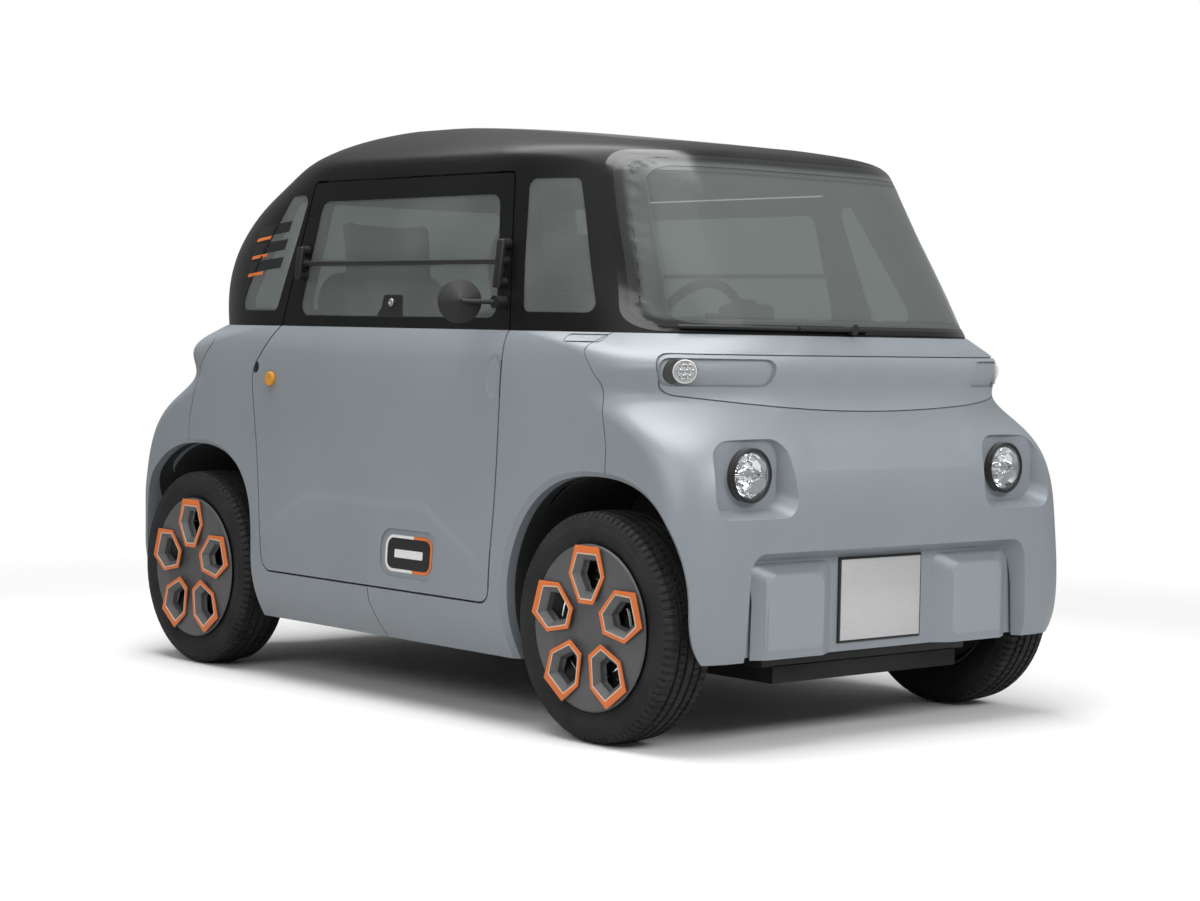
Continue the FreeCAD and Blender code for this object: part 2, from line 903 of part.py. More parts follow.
def lamp(x):
    # a round lamp with a domed face, its back in the bottom of the recess
    front = -lamp_back - lamp_depth / 3
    back = front + lamp_depth
    face = Part.Face(Part.Wire([
        Part.Arc(vec(x, front - lamp_bulge, lamp_height), vec(x + lamp_radius / 2, front - lamp_bulge * dome_share,
                 lamp_height), vec(x + lamp_radius, front, lamp_height)).toShape(),
        Part.makeLine(vec(x + lamp_radius, front, lamp_height), vec(x + lamp_radius, back, lamp_height)),
        Part.makeLine(vec(x + lamp_radius, back, lamp_height), vec(x, back, lamp_height)),
        Part.makeLine(vec(x, back, lamp_height), vec(x, front - lamp_bulge, lamp_height))]))
    return face.revolve(vec(x, 0, lamp_height), along_y, 360)


lamps = [lamp(-lamp_x), lamp(lamp_x)]
keep("headlamps", group(lamps))
keep("tail_lamps", group([turned(one) for one in lamps]))
signals = []
for side in (-1, 1):
    stick = rod(
        signal_radius, vec(side * signal_x, -length, signal_height), vec(side * signal_x, 0, signal_height))
    lens = body_wall.common(stick.common(box(-width, width, -length, 0, 0, height)))
    signals += [lens, turned(lens)]
keep("signal_lamps", group(signals))

# Side panels: each takes half of the sill

split_points = [
    (sill_split_top, belt_height + overrun, 0), (sill_split_top, door_foot - wall, 0),
    (sill_split_foot, sill_height, 0), (sill_split_foot, 0, 0), (-length, 0, 0),
    (-length, belt_height + overrun, 0)]
front_face = rounded(split_points, lambda y, z: vec(-width, y, z))
front_half = front_face.extrude(along_x * width)
split_seam = front_face.makeOffset2D(groove_width / 2).cut(front_face.makeOffset2D(-groove_width / 2))
split_groove = body_skin.common(split_seam.extrude(along_x * width))
right_side = sides.common(box(-width, 0, -length, length, 0, belt_height + overrun)).cut(split_groove)
front_panel = right_side.common(front_half)
rear_panel = right_side.cut(front_half)
keep("quarter_front_right", front_panel)
keep("quarter_rear_right", rear_panel)
keep("quarter_rear_left", turned(front_panel))
keep("quarter_front_left", turned(rear_panel))

# Floor tub: pan, bulkheads, shelves and wheel wells

floor_top = floor_height + floor_thick
pan = box(-half_width, half_width, -cabin_half - liner, cabin_half + liner, floor_height, floor_top)
front_bulkhead = box(
    -half_width, half_width, -cabin_half - liner, -cabin_half, floor_height, dash_top - wall - seat_fit)
rear_bulkhead = box(-half_width, half_width, cabin_half, cabin_half + liner, floor_height, parcel_height)
parcel_shelf = box(
    -half_width, half_width, cabin_half, half_length, parcel_height, parcel_height + liner)
shelf = box(-half_width, half_width, -shelf_half, shelf_half, shelf_height, shelf_height + liner)
shelf = shelf.cut(box(-width, width, -cabin_half, cabin_half, 0, height))
liners = []
accesses = []
for y in (-axle_y, axle_y):
    outer = arch_solid(arch_half + liner, arch_rise + liner, y, -half_width, -liner_inner + liner)
    liners += [outer, turned(outer)]
    reach = liner_inner + liner
    accesses.append(box(-reach, reach, y - access_half, y + access_half, 0, access_top))
tub = joined([pan, front_bulkhead, rear_bulkhead, parcel_shelf, shelf] + liners)
tub = tub.cut(wells + accesses + [box(-width, width, -length, length, 0, floor_height)])
ends_open = box(-width, width, -length, -cabin_half - liner, 0, nose_clearance)
behind_deep_wall = body_form(wall + grille_depth + seat_fit)
rooms = [end_cut(grille_outline(wall + seat_fit), -1).cut(behind_deep_wall)]
for side in (-1, 1):
    rooms.append(end_cut(recess_outline(side * recess_x, wall / 2 + seat_fit), -1).cut(behind_deep_wall))
rooms += [turned(room) for room in rooms]
tub = tub.cut([ends_open, turned(ends_open)] + rooms).common(body_form(wall + seat_fit))
keep("floor_tub", tub)

# Chassis frame with the towers that carry the front arms

beam_y = axle_y - beam_back
rack_y = -axle_y + rack_back
rail_foot = floor_height - rail_tall
pieces = []
for side in (-1, 1):
    pieces.append(box(
        side * rail_x - rail_wide / 2, side * rail_x + rail_wide / 2, -frame_end, frame_end,
        rail_foot, floor_height))
    tower_middle = side * (tower_x + tower_wide / 2)
    tower = box(
        tower_middle - tower_wide / 2, tower_middle + tower_wide / 2,
        -axle_y - tower_half, -axle_y + tower_half, rail_foot, tower_top)
    pieces.append(tower.cut(disc(tower_window, -width, width, -axle_y, axle_height)))
end_beam = frame_end - rail_wide / 2
for y in (-end_beam, rack_y, -cabin_half, 0, cabin_half, end_beam):
    pieces.append(box(-rail_x, rail_x, y - rail_wide / 2, y + rail_wide / 2, rail_foot, floor_height))
frame = joined(pieces).removeSplitter()
keep("chassis_frame", frame)

# Battery and drive unit, as plain blocks

keep("battery_pack", block(
    battery_x - battery_wide / 2, battery_x + battery_wide / 2, battery_y - battery_long / 2,
    battery_y + battery_long / 2, floor_top + seat_fit, floor_top + battery_tall, wall))
motor = disc(motor_radius, -motor_half, motor_half, -motor_y, motor_height)
gearbox = box(
    -gearbox_half, gearbox_half, -motor_y - motor_radius, -motor_y + motor_radius,
    rail_foot + wall, motor_height)
shafts = disc(shaft_radius, -shaft_end, shaft_end, -axle_y, axle_height)
keep("drive_unit", joined([motor, gearbox, shafts]))

# Dashboard with the instrument pod and the telephone cradle

dash_foot = dash_top - dash_deep
dash_points = [
    (-cabin_half, dash_foot, 0), (-dash_rear, dash_foot, wall), (-dash_rear + wall, dash_top - wall, wall),
    (-dash_rear - wall, dash_top, wall), (-dash_front, dash_top, 0), (-dash_front, dash_top - wall, 0),
    (-cabin_half, dash_top - wall, 0)]
dash = rounded(dash_points, lambda y, z: vec(-width, y, z)).extrude(along_x * (2 * width))
column_foot = vec(wheel_x, -dash_rear - wall, dash_top - dash_deep / 2)
column_head = vec(wheel_x, wheel_y, wheel_height)
column_way = column_head.sub(column_foot).normalize()
column_end = column_head - column_way * (boss_deep / 2 + boss_gap)
dash = dash.common(body_form(wall + dash_clear)).cut(rod(column_radius + seat_fit, column_foot, column_end))
keep("dashboard", dash)
pod = block(
    wheel_x - pod_half, wheel_x + pod_half, -dash_rear - pod_deep, -dash_rear, dash_top + seat_fit,
    dash_top + pod_rise, pod_deep / 3)
cradle = block(
    cradle_x - cradle_half, cradle_x + cradle_half,
    -dash_rear - pod_deep, -dash_rear - pod_deep + cradle_thick,
    dash_top + seat_fit, dash_top + cradle_rise, cradle_thick / 3)
keep("dash_pods", group([pod, cradle]))

# Steering column and wheel, which turns on the column's pin

pin_end = column_end + column_way * column_pin_length
keep("steering_column", joined([
    rod(column_radius, column_foot, column_end), rod(column_pin_radius, column_end, pin_end)]))
boss_way = column_way * (boss_deep / 2)
boss = rod(boss_radius, column_head - boss_way, column_head + boss_way)
grip_centre = column_head + column_way * grip_rise
grip = Part.makeTorus(steering_radius, grip_radius, grip_centre, column_way)
down = column_way.cross(along_x)
down = down * math.copysign(1, -down.z)
spokes = [rod(spoke_radius, grip_centre, grip_centre + way * steering_radius)
          for way in (along_x, along_x * -1, down)]
wheel = joined([boss, grip] + spokes)
keep("steering_wheel", wheel.cut(rod(
    column_pin_radius + bearing_fit, column_end, pin_end + column_way * boss_gap)))

# Seats: a moulded shell on a plinth, with a cushion and a back pad


def seat(x, y, plinth_foot):
    half = seat_wide / 2
    front, rear = y - seat_deep / 2, y + seat_deep / 2
    slope = seat_back_lean / (seat_back_top - seat_height)

    def back_panel(half_wide, foot, top, thick, stand, corner):
        # a leaning board with rounded top corners, standing off the seat back's front
        face = rounded(
            [(-half_wide, foot, 0), (half_wide, foot, 0),
             (half_wide, top, corner), (-half_wide, top, corner)],
            lambda u, z: vec(x + u, rear - stand + slope * (z - seat_height), z))
        return face.extrude(vec(0, -thick, 0))

    base = block(x - half, x + half, front, rear, seat_height - shell_thick, seat_height, shell_thick)
    plinth = block(
        x - plinth_wide / 2, x + plinth_wide / 2, y - plinth_long / 2, y + plinth_long / 2,
        plinth_foot + seat_fit, seat_height, shell_thick)
    back = back_panel(half, seat_height - shell_thick, seat_back_top, shell_thick, 0, seat_corner)
    cushion = block(
        x - half + pad_margin, x + half - pad_margin, front, rear - 2 * pad_margin - pad_thick,
        seat_height + seat_fit, seat_height + pad_thick, pad_thick)
    rest = back_panel(
        half - pad_margin, seat_height + pad_back_gap, seat_back_top - pad_margin, pad_back_thick,
        shell_thick + seat_fit, seat_corner - pad_margin)
    return joined([base, plinth, back]), group([cushion, rest])


for name, x, y, plinth_foot in (
        ("right", seat_right_x, seat_right_y, floor_top + battery_tall),
        ("left", seat_left_x, seat_left_y, floor_top)):
    seat_frame, pads = seat(x, y, plinth_foot)
    keep("seat_" + name, seat_frame)
    keep("seat_pads_" + name, pads)

# Front suspension: an upper and a lower wishbone, each with an eye for the knuckle's pin


def wishbone(up):
    tip = vec(kingpin_x, -axle_y, axle_height + up * eye_place)
    eye = rod(eye_radius, tip - along_z * eye_half, tip + along_z * eye_half)
    legs = []
    for along in (-arm_spread, arm_spread):
        root = vec(tower_x, -axle_y + along, axle_height + up * arm_drop)
        legs.append(rod(arm_radius, root, tip - along_x * eye_radius / 2))
    if up > 0:
        legs.append(rod(
            strut_post_radius, vec(strut_x, -axle_y, axle_height + eye_place - arm_radius),
            vec(strut_x, -axle_y, axle_height + strut_post_rise)))
    bore = rod(
        kingpin_radius + bearing_fit, tip - along_z * 2 * eye_radius, tip + along_z * 2 * eye_radius)
    inside = box(0, tower_x + tower_wide + seat_fit, -length, 0, 0, height)
    return joined([eye] + legs).cut([bore, inside])


arms = [wishbone(-1), wishbone(1)]
keep("front_suspension", group(arms + [mirrored(arm) for arm in arms]))

# Rear suspension: a cross beam on the rails, trailing arms and the stub axles

beam_height = floor_height + beam_radius + seat_fit
pieces = [disc(beam_radius, -beam_half, beam_half, beam_y, beam_height)]
for side in (-1, 1):
    arm_x = side * (beam_half - trail_radius)
    pieces.append(rod(trail_radius, vec(arm_x, beam_y, beam_height), vec(arm_x, axle_y, axle_height)))
    low, high = sorted((side * carrier_inner, side * carrier_outer))
    pieces.append(disc(carrier_radius, low, high, axle_y, axle_height))
    low, high = sorted((side * carrier_inner, side * (track_half + rim_disc_place + rim_disc_wall)))
    pieces.append(disc(spindle_radius, low, high, axle_y, axle_height))
    pieces.append(rod(
        strut_post_radius, vec(arm_x, axle_y - rack_back, beam_height), vec(
            arm_x, axle_y - rack_back, axle_height + rear_post_rise)))
rear_axle = joined(pieces)
keep("rear_suspension", rear_axle)

# Struts, each from its arm up to the roof of the wheel well


def strut(x, y, foot, axle):
    place = vec(-x, y, foot - root_sink)
    head = vec(-strut_top_x, y, arch_base + arch_rise)
    way = head.sub(place)
    middle = place + way / 2
    column = joined([
        rod(strut_radius, place, middle), rod(strut_rod_radius, middle, head),
        rod(spring_radius, place + way / 4, head - way * spring_head_share)])
    room = arch_solid(arch_half - seat_fit, arch_rise - seat_fit, axle, -half_width, -liner_inner)
    return column.common(room).cut(box(-width, 0, -length, length, 0, foot + seat_fit))


front_strut = strut(strut_x, -axle_y, axle_height + strut_post_rise, -axle_y)
rear_strut = strut(
    beam_half - trail_radius, axle_y - rack_back, axle_height + rear_post_rise, axle_y)
struts = [front_strut, rear_strut]
keep("struts", group(struts + [mirrored(one) for one in struts]))

# Knuckles: an upright with pins in the eyes, the spindle and the steering arm

rack_height = floor_height + rack_radius + seat_fit
upright = block(
    kingpin_x - upright_wide / 2, kingpin_x + upright_wide / 2, -axle_y - upright_deep / 2,
    -axle_y + upright_deep / 2, axle_height - upright_half, axle_height + upright_half, upright_wide / 4)
kingpin = rod(
    kingpin_radius, vec(kingpin_x, -axle_y, axle_height - kingpin_half),
    vec(kingpin_x, -axle_y, axle_height + kingpin_half))
spindle = disc(spindle_radius, kingpin_x, track_half + rim_disc_place + rim_disc_wall, -axle_y, axle_height)
steer_height = rack_height - ball_radius - steer_arm_gap - steer_arm_radius
steer_root = vec(kingpin_x, -axle_y, axle_height - upright_half + 2 * steer_arm_radius)
steer_arm = rod(steer_arm_radius, steer_root, vec(ball_x, rack_y, steer_height))
lug = rod(
    ball_radius, vec(ball_x, rack_y, steer_height - steer_arm_radius),
    vec(ball_x, rack_y, steer_height + steer_arm_radius))
knuckle = joined([upright, kingpin, spindle, steer_arm, lug])
keep("knuckle_left", knuckle)
keep("knuckle_right", mirrored(knuckle))

# Steering rack: a fixed housing on the frame and the rod that slides in it

rack_rod = disc(tie_radius, -ball_x, ball_x, rack_y, rack_height)
housing = disc(rack_radius, -rack_half, rack_half, rack_y, rack_height)
housing = housing.cut(disc(tie_radius + bearing_fit, -width, width, rack_y, rack_height))
keep("rack_housing", housing)
balls = [Part.makeSphere(ball_radius, vec(side * ball_x, rack_y, rack_height)) for side in (-1, 1)]
keep("rack_rod", joined([rack_rod] + balls))

# Wheels, made about the axle at the track and turned for each corner


def spun(edges):
    # a closed profile of places along the axle and radii, turned about the axle
    face = Part.Face(Part.Wire(edges))
    return face.revolve(zero, along_x, 360)


def place_of(along, radius):
    return vec(track_half + along, 0, radius)


def line_run(points):
    places = [place_of(*point) for point in points]
    return [Part.makeLine(a, b) for a, b in zip(places, places[1:])]


def arc_run(a, b, c):
    return Part.Arc(place_of(*a), place_of(*b), place_of(*c)).toShape()


def tyre_shape():
    half = tyre_width / 2
    edges = []
    for side in (-1, 1):
        edges.append(arc_run(
            (side * bead_half, bead_radius), (side * half, sidewall_radius),
            (side * shoulder_half, shoulder_radius)))
        edges.append(arc_run(
            (side * shoulder_half, shoulder_radius),
            (side * (shoulder_half + tread_half + tread_crown) / 2,
             (shoulder_radius + tyre_radius + tread_crown) / 2),
            (side * tread_half, tyre_radius - tread_crown)))
    edges.append(arc_run(
        (-tread_half, tyre_radius - tread_crown), (0, tyre_radius), (tread_half, tyre_radius - tread_crown)))
    edges += line_run([(bead_half, bead_radius), (-bead_half, bead_radius)])
    return spun(Part.__sortEdges__(edges))


def rim_shape():
    # barrel, dished disc with round ports, and the hub with its drum
    seat_radius = bead_radius - seat_fit
    inner = seat_radius - rim_wall
    well = rim_well_radius
    well_inner = well - rim_wall
    front = rim_disc_place
    back = front - rim_disc_wall
    bore = spindle_radius + bearing_fit
    barrel = spun(line_run([
        (-rim_half, seat_radius), (-rim_half, inner), (-rim_well_half, well_inner),
        (front - rim_disc_wall, well_inner), (front, well_inner - rim_wall), (rim_half, inner),
        (rim_half, seat_radius), (bead_half - bead_land, seat_radius), (rim_well_half, well),
        (-rim_well_half, well), (bead_land - bead_half, seat_radius), (-rim_half, seat_radius)]))
    plate = spun(line_run([
        (front, well_inner), (back - rim_disc_wall, well_inner), (back, hub_radius + rim_disc_dish),
        (back - rim_disc_dish / 2, hub_radius), (back - rim_disc_dish / 2, bore), (front, bore), (front, hub_radius),
        (front + rim_disc_wall, hub_radius + rim_disc_dish), (front, well_inner)]))
    drum = spun(line_run([
        (back - rim_disc_dish / 2, bore), (back - drum_wide, bore), (back - drum_wide, drum_radius),
        (back - rim_disc_dish / 2, drum_radius), (back - rim_disc_dish / 2, bore)]))
    ports = []
    for i in range(rim_port_count):
        turn = 2 * math.pi * i / rim_port_count
        ports.append(disc(
            rim_port_radius, 0, width, rim_port_place * math.sin(turn), rim_port_place * math.cos(turn)))
    drum_guard = disc(drum_radius + seat_fit, 0, track_half + back - rim_disc_dish / 2, 0, 0)
    plate = plate.cut([port.cut(drum_guard) for port in ports])
    return joined([barrel, plate, drum])


def port_outline(along, share, turn):
    # one six-sided port outline, drawn in towards its middle by a share
    middle = port_waist
    corners = [
        (-port_outer_half, port_outer), (port_outer_half, port_outer), (port_waist_half, port_waist),
        (port_inner_half, port_inner), (-port_inner_half, port_inner), (-port_waist_half, port_waist)]
    places = []
    for across, out in corners:
        a, r = across * share, middle + (out - middle) * share
        places.append(vec(
            track_half + along, a * math.cos(turn) + r * math.sin(turn),
            r * math.cos(turn) - a * math.sin(turn)))
    return Part.makePolygon(places + places[:1])


def cover_shape():
    # a dished cover with five six-sided ports in raised frames
    face = cover_face - track_half
    edge, middle = face - cover_edge_back, face - cover_middle_back
    outer = line_run([
        (middle, 0), (middle, cover_middle_radius), (face, port_waist), (edge + cover_wall, cover_radius - cover_wall),
        (edge, cover_radius), (edge - cover_wall, cover_radius - cover_wall), (face - cover_wall, port_waist),
        (middle - cover_wall, cover_middle_radius), (middle - cover_wall, 0), (middle, 0)])
    plate = spun(outer)
    bowls = []
    holes = []
    for i in range(port_count):
        turn = 2 * math.pi * i / port_count
        top, foot = face + port_stand, face - port_deep
        bowls.append(Part.makeLoft(
            [port_outline(top, 1, turn), port_outline(foot, port_hole_share + cover_wall_share, turn)], True, True))
        holes.append(Part.makeLoft(
            [port_outline(top + seat_fit, port_frame_share, turn), port_outline(foot - seat_fit, port_hole_share, turn)],
            True, True))
    return joined([plate] + bowls).cut(holes)


wheel_pieces = (("tyre", tyre_shape()), ("rim", rim_shape()), ("cover", cover_shape()))
for name, side, end in (
        ("front_left", 1, -1), ("rear_left", 1, 1), ("front_right", -1, -1), ("rear_right", -1, 1)):
    for piece, shape in wheel_pieces:
        one = shape.copy() if side > 0 else turned(shape)
        one.translate(vec(0, end * axle_y, axle_height))
        keep(piece + "_" + name, one)
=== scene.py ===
import math
import bmesh
import bpy
from mathutils import Matrix, Vector
from mathutils.bvhtree import BVHTree


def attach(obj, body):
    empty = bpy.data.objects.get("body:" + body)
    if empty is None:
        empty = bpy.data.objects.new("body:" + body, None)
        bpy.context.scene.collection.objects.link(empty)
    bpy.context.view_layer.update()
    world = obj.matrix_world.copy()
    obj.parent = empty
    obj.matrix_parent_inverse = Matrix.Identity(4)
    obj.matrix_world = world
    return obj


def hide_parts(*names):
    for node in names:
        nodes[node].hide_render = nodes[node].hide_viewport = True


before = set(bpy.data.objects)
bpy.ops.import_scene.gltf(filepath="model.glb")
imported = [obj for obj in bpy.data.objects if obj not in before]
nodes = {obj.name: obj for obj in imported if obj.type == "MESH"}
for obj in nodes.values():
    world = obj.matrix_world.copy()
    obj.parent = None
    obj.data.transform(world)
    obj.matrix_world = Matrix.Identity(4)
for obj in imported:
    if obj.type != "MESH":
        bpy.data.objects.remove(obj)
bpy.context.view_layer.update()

acrossX, alongY, upZ = Vector((1, 0, 0)), Vector((0, 1, 0)), Vector((0, 0, 1))
halfTurn = Matrix.Rotation(math.pi, 4, "Z")  # the right side becomes the left side
print("frame loaded:", len(nodes), "solids")


# shader helpers

def operator(kind, swapped=False):
    # a method of Wire that adds one Math node
    def method(self, other=0):
        first, second = (other, self) if swapped else (self, other)
        return self.sheet.add("Math", {"operation": kind}, {0: first, 1: second})

    return method


class Wire:
    # one socket of a node tree, so that shader sums read as plain sums
    __add__, __radd__ = operator("ADD"), operator("ADD", True)
    __sub__, __rsub__ = operator("SUBTRACT"), operator("SUBTRACT", True)
    __mul__, __rmul__ = operator("MULTIPLY"), operator("MULTIPLY", True)
    __truediv__, __abs__ = operator("DIVIDE"), operator("ABSOLUTE")
    least, most = operator("MINIMUM"), operator("MAXIMUM")

    def __init__(self, sheet, socket):
        self.sheet, self.socket = sheet, socket

    def ramp(self, low, high, start=0, stop=1):
        # smooth step from low to high
        return self.sheet.add(
            "MapRange", {"interpolation_type": "SMOOTHSTEP"},
            {"Value": self, "From Min": low, "From Max": high, "To Min": start, "To Max": stop})


class Sheet:
    # a node tree and the one method that adds nodes to it
    def __init__(self, tree):
        self.tree = tree

    def add(self, kind, settings=None, links=None, out=0):
        node = self.tree.nodes.new("ShaderNode" + kind)
        for key, value in (settings or {}).items():
            setattr(node, key, value)
        for key, value in (links or {}).items():
            if isinstance(value, Wire):
                self.tree.links.new(value.socket, node.inputs[key])
            else:
                node.inputs[key].default_value = value
        return Wire(self, node.outputs[out])

    def seen(self):
        # one where the camera looks, also through glass, and nothing for other light
        path = self.add("LightPath").socket.node.outputs
        return Wire(self, path["Is Camera Ray"]).most(Wire(self, path["Is Transmission Ray"]))


class Finish(Sheet):
    # a material: its shader with the constants on the shader's own sockets
    def __init__(self, name, color, roughness, **fixed):
        self.material = bpy.data.materials.new(name)
        self.material.use_nodes = True
        super().__init__(self.material.node_tree)
        self.shader = self.tree.nodes["Principled BSDF"]
        self.result = self.tree.nodes["Material Output"]
        self.shader.inputs["Base Color"].default_value = (*color, 1)
        self.shader.inputs["Roughness"].default_value = roughness
        for socket, value in fixed.items():
            self.shader.inputs[socket.replace("_", " ")].default_value = value

    def put(self, socket, wire):
        self.tree.links.new(wire.socket, self.shader.inputs[socket])

    def place(self):
        return self.add("TexCoord", out="Object")

    def axes(self):
        apart = self.add("SeparateXYZ", links={0: self.place()})
        return [Wire(self, apart.socket.node.outputs[i]) for i in range(3)]

    def noise(self, scale, detail=3, where=None, rough=0.5):
        return self.add("TexNoise", links={
            "Vector": where or self.place(), "Scale": scale, "Detail": detail, "Roughness": rough})

    def mix(self, share, low, high):
        # colours are blended here, never by a Math node
        return self.add("Mix", {"data_type": "RGBA"}, {
            0: share, 6: low if isinstance(low, Wire) else (*low, 1),
            7: high if isinstance(high, Wire) else (*high, 1)}, out=2)

    def bump(self, height, depth, strength=1.0, form=None):
        # fine grain; a pressing of the panel, its height in metres, lies under it
        links = {"Height": height, "Distance": depth, "Strength": strength}
        if form:
            links["Normal"] = self.add("Bump", links={"Height": form, "Distance": 1.0, "Strength": 1.0})
        self.put("Normal", self.add("Bump", links=links))

    def overlay(self, share, other):
        # the surface shader seen through another one
        last = self.result.inputs["Surface"].links[0].from_socket
        blend = self.add("MixShader", links={0: share, 1: other, 2: Wire(self, last)})
        self.tree.links.new(blend.socket, self.result.inputs["Surface"])


def shade(color, by):
    return tuple(min(1, c * by) for c in color)


def noseCrease(made, x, y, z):
    # the crease between the lamps: just above it each fascia leans back, then comes out again slowly
    size = {"z": 0.652, "tall": 0.034, "deep": 0.0034, "half": 0.33, "fade": 0.09, "ends": (0.9, 0.92),
            "out": (0.80, 0.70)}
    up = ((z - size["z"]) / size["tall"]).most(0).least(1)
    side = abs(x).ramp(size["half"], size["half"] - size["fade"])
    ends = abs(y).ramp(*size["ends"])
    return (up * up - up * 2) * size["deep"] * side * ends * z.ramp(*size["out"])


def doorPressing(made, x, y, z):
    # the raised lower panel of each door, its top edge bent down at both ends
    size = {"z": 0.517, "middle": 0.035, "half": 0.265, "slope": 0.55, "soft": 0.016, "tall": 0.0038,
            "shoulder": 0.90, "shoulderTall": 0.055, "shoulderDeep": 0.004, "dimpleFade": (1.15, 0.55),
            "dimple": (-0.474, 0.856), "dimpleHalf": (0.030, 0.054), "dimpleDeep": 0.004}
    turned = y * made.add("Math", {"operation": "SIGN"}, {0: x}) * -1
    edge = size["z"] - (abs(turned - size["middle"]) - size["half"]).most(0) * size["slope"]
    panel = (z - edge).ramp(size["soft"], -size["soft"]) * size["tall"]
    shoulder = z.ramp(size["shoulder"], size["shoulder"] + size["shoulderTall"]) * size["shoulderDeep"]
    (dimpleY, dimpleZ), (halfY, halfZ) = size["dimple"], size["dimpleHalf"]
    across, up = (turned - dimpleY) / halfY, (z - dimpleZ) / halfZ
    dimple = (across * across + up * up).ramp(*size["dimpleFade"]) * size["dimpleDeep"]
    return panel - shoulder - dimple


cloudFade = (0.3, 0.7)  # the part of a noise over which two tones change


def madeFinish(name, look):
    # a moulded, painted or cast surface: cloudy tone, fine grain, uneven gloss and a little dust
    color, vary = look["color"], look["vary"]
    made = Finish(name, color, look["roughness"], **look.get("fixed", {}))
    cloud = made.noise(look.get("cloudScale", 4), 3)
    grain = made.noise(look.get("grainScale", 600), 3)
    tone = made.mix(cloud.ramp(*cloudFade), shade(color, 1 - vary), shade(color, 1 + vary))
    fleck = grain.ramp(0.35, 0.75) * look.get("fleck", 0.1)
    tone = made.mix(fleck, tone, shade(color, look.get("fleckTone", 1.6)))
    x, y, z = made.axes()
    dust = z.ramp(look.get("dustTop", 0.42), 0.05) * made.noise(9, 4).ramp(0.35, 0.8) * look.get("dust", 0.1)
    gloss = look["roughness"] + (cloud - 0.5) * look.get("glossVary", 0.12)
    made.put("Base Color", made.mix(dust, tone, (0.21, 0.195, 0.175)))
    made.put("Roughness", gloss + dust * 0.5)
    form = look["form"](made, x, y, z) if "form" in look else None
    made.bump(grain, look.get("grainDepth", 0.00006), look.get("grainStrength", 0.6), form)
    if "belt" in look:  # the door's window frame, black above the belt line
        black = look["above"]
        frameTone = made.mix(cloud.ramp(*cloudFade), shade(black["color"], 0.85), shade(black["color"], 1.15))
        frameGloss = black["roughness"] + (cloud - 0.5) * 0.12
        above = made.add("BsdfPrincipled", links={
            "Base Color": frameTone, "Roughness": frameGloss, **black["fixed"]})
        made.overlay(z.ramp(look["belt"] + 0.0005, look["belt"] - 0.0005), above)
    return made


# finishes

